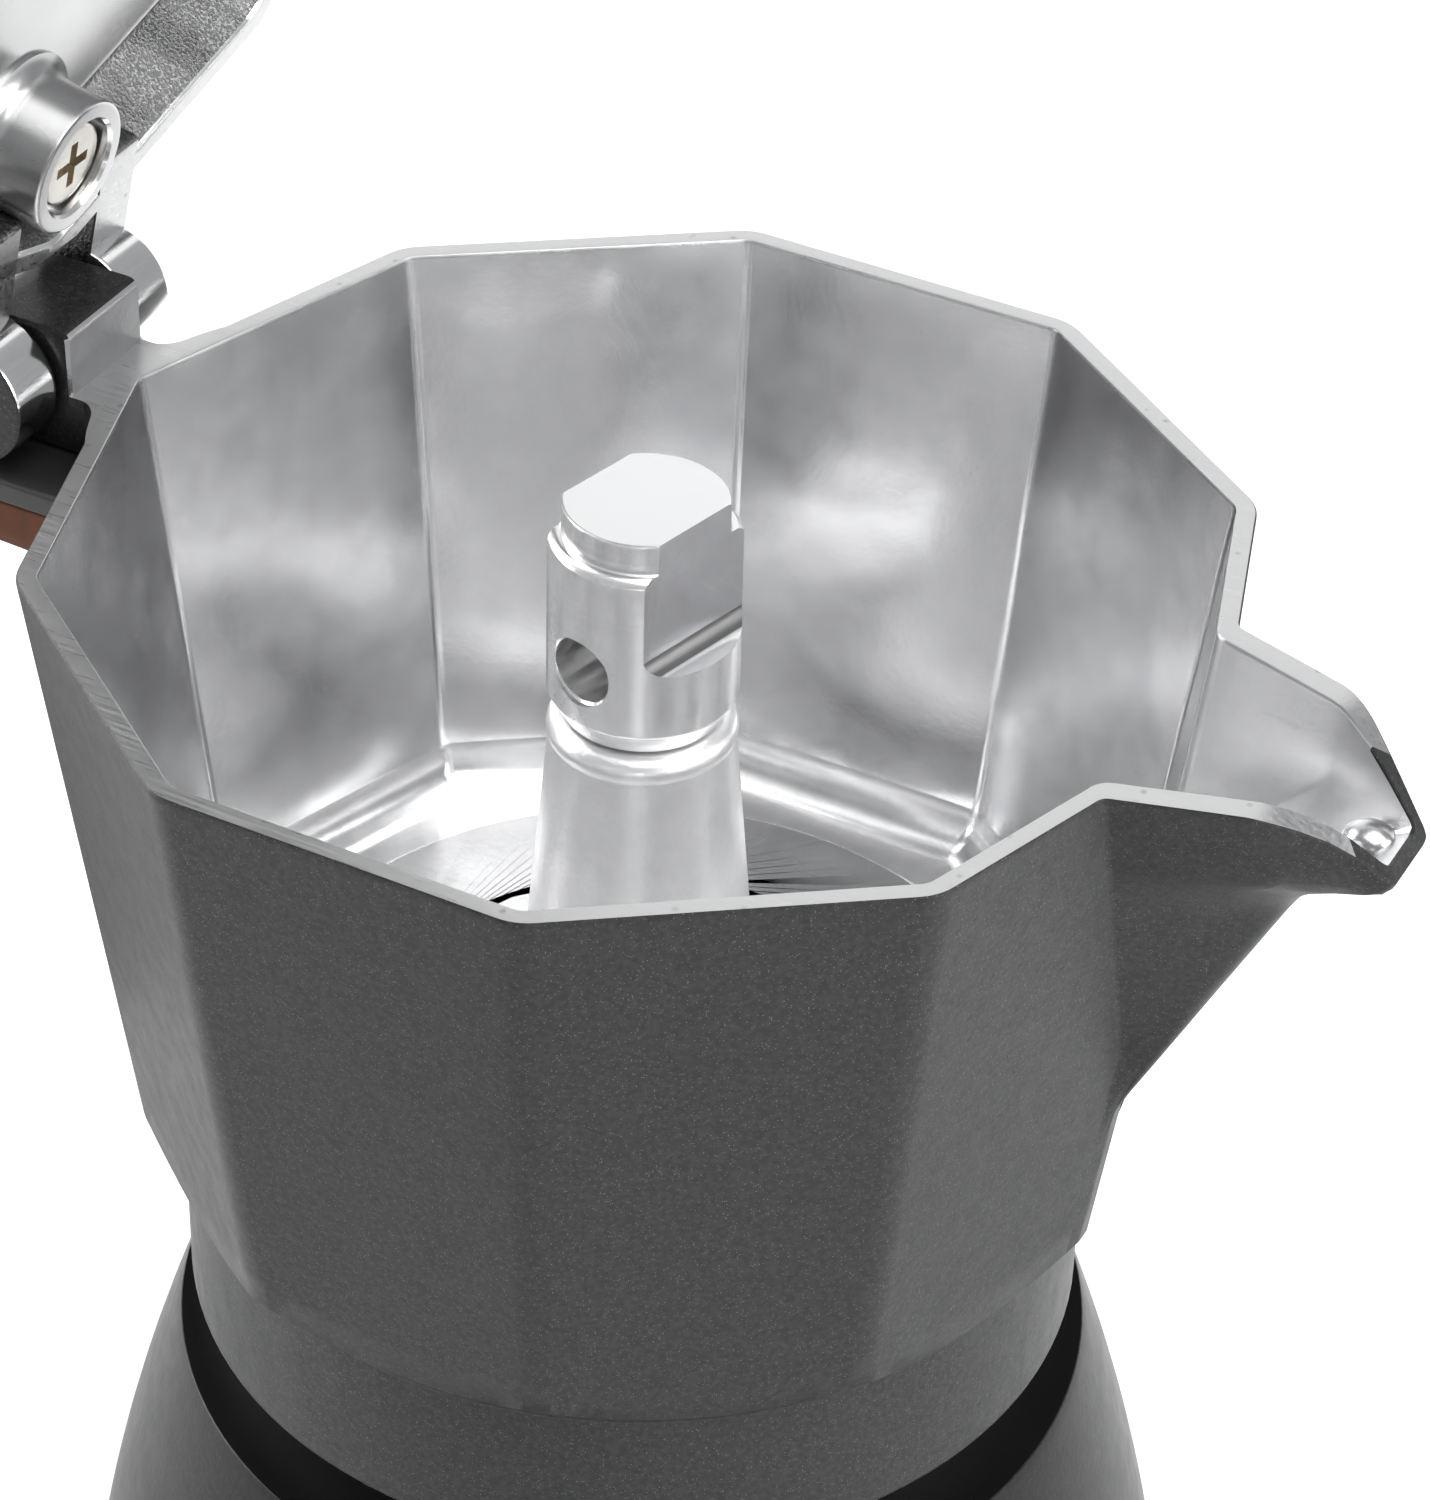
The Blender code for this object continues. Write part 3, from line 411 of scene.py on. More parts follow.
def rounded(points, radius, steps=4, closed=True):
    """An outline with its corners rounded. radius is one number or one for each corner."""
    radii = radius if isinstance(radius, (list, tuple)) else [radius] * len(points)
    made = []
    for k, corner in enumerate(points):
        if not closed and k in (0, len(points) - 1):
            made.append(corner)
            continue
        here = Vector(corner)
        back = Vector(points[k - 1]) - here
        on = Vector(points[(k + 1) % len(points)]) - here
        reach = min(radii[k], 0.45 * back.length, 0.45 * on.length)
        start = here + back.normalized() * reach
        end = here + on.normalized() * reach
        for j in range(steps + 1):
            t = j / steps
            p = start * (1 - t) ** 2 + here * 2 * t * (1 - t) + end * t * t
            made.append((p.x, p.y))
    return made


def smooth_path(values, steps):
    """A smooth curve through values of any width, with some steps to each stretch."""
    points = []
    ends = [values[0], *values, values[-1]]
    for p0, p1, p2, p3 in zip(ends, ends[1:], ends[2:], ends[3:]):
        for k in range(steps):
            t = k / steps
            points.append(tuple(
                0.5 * (2 * b + (c - a) * t + (2 * a - 5 * b + 4 * c - d) * t * t
                       + (3 * b - a - 3 * c + d) * t ** 3)
                for a, b, c, d in zip(p0, p1, p2, p3)))
    points.append(tuple(values[-1]))
    return points


def plate(name, outline, low, high, mats, turn=None, edge=0.25):
    """An outline of (x, y) pairs extruded along Z, with small bevels on both rims."""
    if not edge:
        return skin(name, [[(x, y, z) for x, y in outline] for z in (low, high)], mats, turn=turn)
    inner = shrink(outline, edge)
    rings = [[(x, y, low) for x, y in inner], [(x, y, low + edge) for x, y in outline],
             [(x, y, high - edge) for x, y in outline], [(x, y, high) for x, y in inner]]
    return skin(name, rings, mats, turn=turn)


def shrink(outline, inset):
    """Moves each point of an outline inwards by an inset."""
    area = sum(a[0] * b[1] - b[0] * a[1] for a, b in zip(outline, outline[1:] + outline[:1]))
    side = 1.0 if area > 0 else -1.0
    made = []
    for k, point in enumerate(outline):
        before = Vector(point) - Vector(outline[k - 1])
        after = Vector(outline[(k + 1) % len(outline)]) - Vector(point)
        run = (before.normalized() + after.normalized()).normalized()
        made.append((point[0] - run.y * side * inset, point[1] + run.x * side * inset))
    return made


SIDEWAYS = Matrix(((1, 0, 0, 0), (0, 0, -1, 0), (0, 1, 0, 0), (0, 0, 0, 1)))


def side_plate(name, outline, y0, y1, mats, edge=0.25):
    """An outline of (x, z) pairs extruded along Y."""
    return plate(name, outline, -y1, -y0, mats, SIDEWAYS, edge)


def along(axis, place):
    """Matrix that lays Z along an axis, with its origin at a place in millimetres."""
    turn = Vector(axis).to_track_quat("Z", "Y").to_matrix().to_4x4()
    return Matrix.Translation(Vector(place) * MM) @ turn


TOOLS = []


def boolean(target, tool, operation):
    """Adds a Boolean whose tool stays until the target is baked."""
    step = target.modifiers.new(operation.title(), "BOOLEAN")
    step.operation = operation
    step.solver = "EXACT"
    step.material_mode = "TRANSFER"
    step.object = tool
    TOOLS.append(tool)


def bake(obj, sharp=38.0):
    """Applies the Booleans and removes their tools."""
    bpy.context.view_layer.update()
    graph = bpy.context.evaluated_depsgraph_get()
    mesh = bpy.data.meshes.new_from_object(obj.evaluated_get(graph))
    obj.modifiers.clear()
    obj.data = mesh
    for tool in TOOLS:
        bpy.data.objects.remove(tool)
    TOOLS.clear()
    mesh.shade_smooth()
    mesh.set_sharp_from_angle(angle=math.radians(sharp))
    weighted = obj.modifiers.new("Weighted", "WEIGHTED_NORMAL")
    weighted.keep_sharp = True
    return obj


def paint_faces(obj, index, facing):
    """Gives one of its materials to the faces whose normal passes a test."""
    for face in obj.data.polygons:
        if facing(face.normal):
            face.material_index = index


def join(target, *tools):
    for tool in tools:
        boolean(target, tool, "UNION")


def cut(target, *tools):
    for tool in tools:
        boolean(target, tool, "DIFFERENCE")


# ---------------- the cup's walls

CORNER_STEPS = 6
SIDE_STEPS = 9
PROW_STEPS = 8
# The blunt nose of a plain rounded corner, for each millimetre of its rounding.
CORNER_NOSE = 0.1585
CORNER_INSET = 0.0515


def fillet(before, corner, after, radius, steps):
    """Points of one rounded corner of an outline."""
    corner = Vector(corner)
    back = (Vector(before) - corner).normalized()
    on = (Vector(after) - corner).normalized()
    half = 0.5 * math.acos(max(-1.0, min(1.0, back.dot(on))))
    reach = max(0.3, radius / math.tan(half)) if half < math.pi / 2 - 1e-4 else 0.3
    reach = min(reach, 0.49 * min((Vector(before) - corner).length, (Vector(after) - corner).length))
    start = corner + back * reach
    end = corner + on * reach
    made = []
    for k in range(steps + 1):
        t = k / steps
        made.append(start * (1 - t) ** 2 + corner * 2 * t * (1 - t) + end * t * t)
    return made


class Cup:
    """Plan outline of the outer or inner wall at any depth below the rim.

    taper is the radius lost for each millimetre of depth. The spout's walls start at the depth foot
    and are half_width from the middle plane at the rim. keel gives the spout's front as (x, depth)
    pairs, nose its half width, bulge its roundness near the rim, and seam the rounding where the
    spout meets the cup.
    """

    def __init__(self, corner_r, taper, rounding, foot, half_width, keel, nose, bulge, seam, seam_steps):
        self.corner_r = corner_r
        self.taper = taper
        self.rounding = rounding
        self.foot = foot
        self.half_width = half_width
        self.keel = keel
        self.nose = nose
        self.bulge = bulge
        self.seam = seam
        self.seam_steps = seam_steps
        self.rows = [self.outline(0.5 * k) for k in range(125)]
        self.count = len(self.rows[0])

    def corner(self, depth):
        """Distance of the ten corners from the axis at a depth."""
        return self.corner_r - self.taper * depth

    def prow(self, depth, corner_r):
        """Junction, bend and front of the spout at a depth, and the front's rounding. It is a plain
        corner below the spout's foot."""
        rest_nose = CORNER_NOSE * self.rounding
        plain_x = corner_r - CORNER_INSET * self.rounding
        keel_x = max(plain_x, table(self.keel, depth)) if depth < self.keel[0][1] else plain_x
        stand = min(1.0, (keel_x - plain_x) / 3.0)
        lip = min(1.0, max(0.0, (15.0 - depth) / 7.0))
        nose = lerp(lerp(rest_nose, 1.5, stand), self.nose, lip * stand)
        join_y = 2.2 + max(0.0, self.half_width * (1 - depth / self.foot) - 2.2 * stand)
        join_x = corner_r - join_y * math.tan(HALF_SIDE)
        bend = Vector((lerp(join_x, keel_x, 0.6), lerp(join_y, nose, 0.6)))
        bend.y += self.bulge * stand * max(0.0, 1 - depth / 12.0)
        front_rounding = lerp(self.rounding, TIP_ROUNDING, lip * stand)
        return Vector((join_x, join_y)), bend, Vector((keel_x, nose)), front_rounding

    def outline(self, depth, inset=0.0):
        """Points round the wall, starting at one side of the spout, with the same count at any depth."""
        corner_r = self.corner(depth) - inset / math.cos(HALF_SIDE)
        corners = [Vector((math.cos(2 * HALF_SIDE * k), math.sin(2 * HALF_SIDE * k))) * corner_r
                   for k in range(SIDES)]
        junction, bend, front, round_front = self.prow(depth, corner_r)
        mirror = lambda v: Vector((v.x, -v.y))
        nodes = [mirror(junction), mirror(bend), mirror(front), front, bend, junction]
        radii = [self.seam, 14.0, round_front, round_front, 14.0, self.seam]
        steps = [self.seam_steps, 6, PROW_STEPS, PROW_STEPS, 6, self.seam_steps]
        between = [2, 2, 8, 2, 2]
        nodes += corners[1:]
        radii += [self.rounding] * (SIDES - 1)
        steps += [CORNER_STEPS] * (SIDES - 1)
        between += [SIDE_STEPS] * SIDES
        points = []
        for k, node in enumerate(nodes):
            after = nodes[(k + 1) % len(nodes)]
            points += fillet(nodes[k - 1], node, after, radii[k], steps[k])
            start = points[-1]
            far = fillet(node, after, nodes[(k + 2) % len(nodes)], radii[(k + 1) % len(nodes)], 1)[0]
            fill = between[k]
            points += [start.lerp(far, (j + 1) / (fill + 1)) for j in range(fill)]
        return points

    def at(self, k, depth):
        """Point of one column of the wall at a depth."""
        row = min(max(depth * 2.0, 0.0), len(self.rows) - 1.001)
        low = int(row)
        return self.rows[low][k].lerp(self.rows[low + 1][k], row - low)


OUTER = Cup(corner_r=OUTER_CORNER_R, taper=0.132, rounding=5.0, foot=40.9, half_width=13.4,
            keel=PROW_KEEL, nose=3.8, bulge=1.9, seam=0.9, seam_steps=3)
INNER = Cup(corner_r=INNER_CORNER_R, taper=0.125, rounding=2.0, foot=37.0, half_width=11.3,
            keel=CHANNEL_KEEL, nose=2.9, bulge=1.0, seam=2.2, seam_steps=3)


def lip_depth(x):
    """How far the rim has dropped below its plane at a distance along the spout."""
    return LIP_TIP_DEPTH * max(0.0, (x - LIP_START_X) / (LIP_TIP_X - LIP_START_X)) ** LIP_CURVE


def wall_tops(cup):
    """Depth at which each column of a wall meets the rim or the falling lip."""
    tops = []
    for k in range(cup.count):
        low, high = 0.0, lip_depth(cup.at(k, 0.0).x)
        for _ in range(18 if high > 0.0 else 0):
            middle = 0.5 * (low + high)
            if lip_depth(cup.at(k, middle).x) > middle:
                low = middle
            else:
                high = middle
        tops.append(high)
    return tops


def wall_ring(cup, low, share, drop=0.0, inset=0.0):
    """Ring a share of the way up from each column's lower depth, then lowered and drawn in."""
    flat = []
    heights = []
    for k in range(cup.count):
        depth = lerp(low[k], cup.tops[k], share) + drop
        p = cup.at(k, depth)
        flat.append((p.x, p.y))
        heights.append(RIM_Z - depth)
    if inset:
        flat = shrink(flat, inset)
    return [(x, y, z) for (x, y), z in zip(flat, heights)]


OUTER.tops = wall_tops(OUTER)
INNER.tops = wall_tops(INNER)


def undercut_depths():
    """Depth at which each column of the outer wall meets the 45-degree undercut above the skirt."""
    depths = []
    for k in range(OUTER.count):
        depth = 58.0
        for _ in range(25):
            depth = SKIRT_TOP_DEPTH - (OUTER.at(k, depth).length - SKIRT_R)
        depths.append(depth)
    return depths


def thread_rings(r, low, high, angles, rows):
    """Rings of a wavy thread that fades in and out at its ends."""
    rings = []
    for k in range(rows + 1):
        z = lerp(low, high, k / rows)
        window = min(1.0, k / 4.0, (rows - k) / 4.0)
        ring = []
        for a in angles:
            radius = r + THREAD_HALF_HEIGHT * window * math.cos(2 * math.pi * z / THREAD_PITCH - a)
            ring.append((radius * math.cos(a), radius * math.sin(a), z))
        rings.append(ring)
    return rings


# Where the spout lies in the chamber's rings of faces.
SPOUT_COLUMNS = range(2, 54)
RIM_ROWS = range(27, 30)
INNER_WALL_ROWS = range(30, 57)
CHANNEL_FOOT_Z = 113.5


def paint_spout(body, coat, shaded_satin):
    """Coats the lip's tip and gives the channel the darker satin, which is painted shade.
    Each ring's faces follow the one before, so a face's place in the list gives its row and column."""
    for k in SPOUT_COLUMNS:
        tip = OUTER.at(k, OUTER.tops[k]).x > COATED_LIP_X
        for row in (*RIM_ROWS, *INNER_WALL_ROWS):
            face = body.data.polygons[row * OUTER.count + k]
            if row in RIM_ROWS and tip:
                face.material_index = coat
            elif row in INNER_WALL_ROWS and face.center.z > CHANNEL_FOOT_Z * MM:
                face.material_index = shaded_satin


def lug_forms(m):
    """The ground tab behind the rim and the hinge lug on it, as tools to join to the cup."""
    lug = [(-49.5, RIM_Z - 5.7), (-49.5, RIM_Z - 0.6), (LUG_FRONT_X, RIM_Z - 0.6)]
    lug += rounded([(LUG_FRONT_X, RIM_Z - 0.5), (LUG_FRONT_X, RIM_Z + LUG_TOP), (HINGE_X, RIM_Z + LUG_TOP)],
                   1.0, 4, closed=False)[1:-1]
    lug += arc(HINGE_X, HINGE_Z, LUG_TOP - 0.8, 90, 180, 14)
    lug += [(HINGE_X - LUG_TOP + 0.8, RIM_Z - 5.7)]
    tab = [(-47.2, -12.6), (-49.2, -9.3), (-50.4, -6.6), (-51.6, -LUG_HALF_WIDTH + 0.02),
           (-55.0, -LUG_HALF_WIDTH + 0.02)]
    corners = [0.5, 2.5, 1.5, 1.2, 0.5]
    tab += [(x, -y) for x, y in reversed(tab)] + [(-51.0, 0.0)]
    tab = rounded(tab, corners + corners[::-1] + [0.5], 5)
    tab_form = plate("tab_form", tab, RIM_Z - 5.0, RIM_Z - 0.01, (m["coat"], m["ground"]), edge=0)
    paint_faces(tab_form, 1, lambda normal: normal.z > 0.9)
    lug_form = side_plate("lug_form", lug, -LUG_HALF_WIDTH, LUG_HALF_WIDTH, (m["lug"], m["lug_face"]), 0.3)
    paint_faces(lug_form, 1, lambda normal: normal.x > 0.7)
    slant = 8.0 * math.tan(HALF_SIDE)
    wedge = [(-50.6, 0.0), (-50.6 + slant, 8.0), (-40.0, 8.0), (-40.0, -8.0), (-50.6 + slant, -8.0)]
    cut(lug_form, plate("lug_end", wedge, RIM_Z - 8.0, RIM_Z - 0.2, (m["lug"],), edge=0))
    return tab_form, lug_form


def build_chamber(m):
    """Cup, spout, floor, column and threaded skirt, with the hinge lug and its ground tab."""
    low = undercut_depths()
    edge = [OUTER.at(k, 57.0) for k in range(OUTER.count)]
    angles = [math.atan2(p.y, p.x) for p in edge]
    start = angles[0]
    spread = [start + 2 * math.pi * k / len(edge) for k in range(len(edge))]
    coat, ground, bare, cast, bright, shaded_satin = range(6)
    rings = []
    bands = []

    def put(ring, band):
        rings.append(ring)
        bands.append(band)

    for k in range(25):
        put(wall_ring(OUTER, low, 1 - (1 - k / 26) ** 1.7), coat)
    put(wall_ring(OUTER, low, 1.0, 0.4), coat)
    put(wall_ring(OUTER, low, 1.0, 0.12, 0.06), coat)
    put(wall_ring(OUTER, low, 1.0, 0.0, 0.2), ground)
    inner_low = [FLOOR_DEPTH - FLOOR_FILLET] * len(edge)
    # The inner rim chamfer takes the darker satin: painted shade that weakens its reflection.
    put(wall_ring(INNER, inner_low, 1.0, 0.0, -0.14), shaded_satin)
    put(wall_ring(INNER, inner_low, 1.0, 0.08, -0.04), shaded_satin)
    for k in range(27):
        put(wall_ring(INNER, inner_low, (1 - k / 26) ** 1.7, 0.35 * (1 - k / 26)), bare)
    for step in range(1, 7):
        a = math.radians(14 * step)
        inset = FLOOR_FILLET * (1 - math.cos(a))
        depth = FLOOR_DEPTH - FLOOR_FILLET + FLOOR_FILLET * math.sin(a)
        put([(p.x, p.y, RIM_Z - depth) for p in INNER.outline(depth, inset)], bare)
    floor_z = RIM_Z - FLOOR_DEPTH
    put(circle(FLOOR_STEP_R + 0.25, floor_z, angles), bright)
    put(circle(FLOOR_STEP_R, floor_z + 0.1, angles), bright)
    put(circle(FLOOR_STEP_R - 0.5, floor_z + FLOOR_STEP - 0.1, angles), bright)
    # The floor's middle takes the darker satin: painted shade.
    put(circle(FLOOR_STEP_R - 0.8, floor_z + FLOOR_STEP, angles), shaded_satin)
    put(circle(24.0, floor_z + FLOOR_STEP, spread), shaded_satin)
    top = RIM_Z - COLUMN_TOP_DEPTH
    base_z = floor_z + FLOOR_STEP
    foot = arc(COLUMN_BASE_R + 3.2, base_z + 3.2, 3.2, 270, 184, 8)
    for r, z in foot:
        put(circle(r, z, spread), cast)
    for k in range(1, 7):
        radius = lerp(COLUMN_BASE_R, COLUMN_TOP_R, k / 7)
        put(circle(radius, lerp(base_z + 3.4, top - 2.4, k / 7), spread), cast)
    bead = ((COLUMN_TOP_R, top - 2.4), (COLUMN_TOP_R + 0.12, top - 2.0), (COLUMN_TOP_R + 0.2, top - 1.5),
            (COLUMN_TOP_R + 0.12, top - 1.0), (COLUMN_TOP_R - 0.15, top - 0.5),
            (COLUMN_TOP_R - 0.6, top - 0.16), (COLUMN_TOP_R - 1.1, top), (CAP_SEAT_R, top),
            (CAP_SEAT_R, top - 9.0), (3.6, top - 9.0), (3.6, RIM_Z - CEILING_DEPTH))
    for r, z in bead:
        put(circle(r, z, spread), cast)
    for r, z in ((31.6, RIM_Z - CEILING_DEPTH), (31.6, RIM_Z - SEAT_DEPTH),
                 (THREAD_FEMALE_R, RIM_Z - SEAT_DEPTH)):
        put(circle(r, z, angles), bare)
    skirt_z = RIM_Z - SKIRT_BOTTOM_DEPTH
    for ring in reversed(thread_rings(THREAD_FEMALE_R, skirt_z + 1.4, RIM_Z - SEAT_DEPTH - 3.0, angles, 26)):
        put(ring, bare)
    for r, z, band in ((THREAD_FEMALE_R + 0.6, skirt_z, bright), (SKIRT_R - 0.45, skirt_z, ground),
                       (SKIRT_R, skirt_z + 0.6, coat), (SKIRT_R, skirt_z + 0.9, coat),
                       (SKIRT_R, RIM_Z - SKIRT_TOP_DEPTH - 0.5, coat),
                       (SKIRT_R + 0.15, RIM_Z - SKIRT_TOP_DEPTH, coat)):
        put(circle(r, z, angles), band)
    mats = (m["coat"], m["ground"], m["satin"], m["cast"], m["bright"], m["channel"])
    body = skin("pot_upper_chamber", rings, mats, bands, wrap=True)
    paint_spout(body, coat, shaded_satin)
    mound = lathe("lip_mound", arc(0, 0, 1.0, -84, 84, 16), (m["channel"],), 40,
                  Matrix.Translation(Vector(LIP_MOUND) * MM) @ Matrix.Diagonal(LIP_MOUND_RADII + (1.0,)))
    tab_form, lug_form = lug_forms(m)
    join(body, tab_form, lug_form, mound)
    cut(body, lathe("lug_bore", ((PIN_R + 0.15, -9), (PIN_R + 0.15, 9)), (m["bright"],), 48,
                    along((0, 1, 0), (HINGE_X, 0, HINGE_Z))),
        lathe("lug_hole", ((2.0, -8), (2.0, -1.6)), (m["bright"],), 32,
              along((0, 0, 1), (HANDLE_SCREW_X, 0, RIM_Z))))
    return bake(body)


def build_cap(m):
    """Turned cap with softened edges, two milled flats and a drilled cross hole."""
    top = RIM_Z + 4.2
    base = RIM_Z - COLUMN_TOP_DEPTH + GAP
    spigot = CAP_SEAT_R - 0.1
    profile = [(2.6, base - 8.4), (spigot - 0.4, base - 8.4), (spigot, base - 8.0), (spigot, base),
               (6.7, base), (6.9, base + 0.1), (CAP_R - 0.12, base + 2.2), (CAP_R, base + 2.5)]
    profile += [(CAP_R, lerp(base + 2.5, RIM_Z + 0.6, k / 6)) for k in range(1, 7)]
    profile += [(CAP_R - 0.12, RIM_Z + 0.85), (CAP_R - 0.42, RIM_Z + 1.22), (CAP_R - 0.6, RIM_Z + 1.3),
                (CAP_DISC_R + 0.12, RIM_Z + 1.3), (CAP_DISC_R, RIM_Z + 1.42), (CAP_DISC_R, top - 0.25),
                (CAP_DISC_R - 0.08, top - 0.07), (CAP_DISC_R - 0.25, top)]
    cap = lathe("pot_column_cap", profile, (m["cap"], m["cap_top"]), 128)
    # Upward faces get a darker copy of the turned metal: painted shade on the lit top.
    paint_faces(cap, 1, lambda normal: normal.z > 0.9)
    cut(cap, lathe("cap_bore", ((2.6, base - 9.0), (2.6, RIM_Z - 4.5)), (m["cap"],), 48))
    turn = Matrix.Rotation(CAP_TURN, 4, "Z")
    low = RIM_Z - 8.2
    for sign in (1, -1):
        side = [(sign * 12.0, RIM_Z + 6.0), (sign * CAP_FLAT, RIM_Z + 6.0), (sign * CAP_FLAT, low + 1.8)]
        side += [(sign * x, z) for x, z in arc(CAP_FLAT + 1.8, low + 1.8, 1.8, 180, 270, 10)[1:]]
        side += [(sign * 12.0, low)]
        tool = side_plate("cap_flat", side, -10.0, 10.0, (m["milled"], m["groove"]), 0)
        # Faces 3 to 8 are the round at the foot of the flat. They get a dark colour as a painted reflection.
        for face in tool.data.polygons[3:9]:
            face.material_index = 1
        tool.data.transform(turn)
        cut(cap, tool)
    axis = (math.sin(CAP_TURN), -math.cos(CAP_TURN), 0.0)
    hole = ((3.2, -10), (3.2, -7.75), (3.0, -7.55), (3.0, 7.55), (3.2, 7.75), (3.2, 10))
    cut(cap, lathe("cap_cross_hole", hole, (m["cap"],), 64, along(axis, (0, 0, RIM_Z - 9.2))))
    return bake(cap, 30.0)


def boiler_radius(z):
    """Radius of the boiler's belly at a height."""
    t = (z - BOILER_EDGE_Z) / (SHOULDER_Z - BOILER_EDGE_Z)
    return BOILER_BASE_R - (BOILER_BASE_R - SHOULDER_R) * t ** BOILER_BELLY


VALVE_Z = 46.0
VALVE_FACE_R = boiler_radius(VALVE_Z) + 2.6


def build_boiler(m):
    """Bell-shaped vessel: coated outside, bare inside, with a threaded neck."""
    angles = even_angles(144)
    coat, bare, neck = range(3)
    profile = [(48.6, 0.3, coat), (49.4, 0.0, coat), (50.6, 0.3, coat), (51.8, 0.9, coat), (52.6, 1.7, coat),
               (53.15, 2.9, coat)]
    profile += [(boiler_radius(z), z, coat) for z in [lerp(BOILER_EDGE_Z, 65.0, k / 30) for k in range(31)]]
    # The neck bands take a near-black, almost unreflective copy of the coat: painted shade of the gap under
    # the skirt.
    profile += [(SHOULDER_R - 0.02, SHOULDER_Z - 0.15, coat), (SHOULDER_R - 0.17, SHOULDER_Z, neck),
                (40.6, 66.6, neck), (39.2, 67.2, neck), (37.9, 68.3, neck), (37.1, 69.6, neck),
                (36.8, 71.2, neck), (36.8, 72.6, bare)]
    rings = [circle(r, z, angles) for r, z, _ in profile]
    bands = [b for _, _, b in profile]
    thread = thread_rings(THREAD_MALE_R, 73.0, 82.0, angles, 28)
    rings += thread
    bands += [bare] * len(thread)
    inside = [(36.2, 83.2), (36.0, 83.9), (35.6, 84.2), (33.8, 84.2), (33.4, 83.9), (33.4, 68.0),
              (34.2, 66.4), (38.6, 62.5)]
    inside += [(boiler_radius(z) - 3.0, z) for z in (58.0, 51.0, 44.0, 38.0, 30.0, 22.0, 14.0, 10.0)]
    inside += [(49.0, 6.4), (47.5, 4.6), (45.5, 4.0)]
    rings += [circle(r, z, angles) for r, z in inside]
    bands += [bare] * (len(inside) - 1)
    body = skin("pot_boiler", rings, (m["boiler"], m["satin"], m["neck"]), bands)
    seat = along((0, 1, 0), (0, VALVE_FACE_R, VALVE_Z))
    boss = ((8.2, -6.0), (8.2, -0.5), (8.05, -0.15), (7.7, 0.0))
    join(body, lathe("valve_boss", boss, (m["boiler"],), 64, seat))
    cut(body, lathe("valve_hole", ((4.6, -12.0), (4.6, 3.0)), (m["satin"],), 48, seat))
    return bake(body, 40.0)


# ---------------- lid

LID_CUP = Cup(corner_r=OUTER_CORNER_R, taper=0.0, rounding=4.0, foot=30.0, half_width=12.5,
              keel=((60.5, 30.0), (60.5, 0.0)), nose=3.0, bulge=0.0, seam=1.5, seam_steps=4)


def lid_ring(inset, z):
    """The lid's outline drawn in by an inset, at a height above the rim."""
    ring = LID_CUP.rows[0]
    share = 1.0 - inset / (OUTER_CORNER_R * math.cos(HALF_SIDE))
    return [(p.x * share, p.y * share, RIM_Z + z) for p in ring]


def opened(obj):
    """Turns a piece drawn on the closed lid to where the lid stands open."""
    hinge = Vector((HINGE_X, 0.0, HINGE_Z)) * MM
    turn = Matrix.Translation(hinge) @ Matrix.Rotation(-LID_OPEN, 4, "Y") @ Matrix.Translation(-hinge)
    obj.data.transform(turn)
    return obj


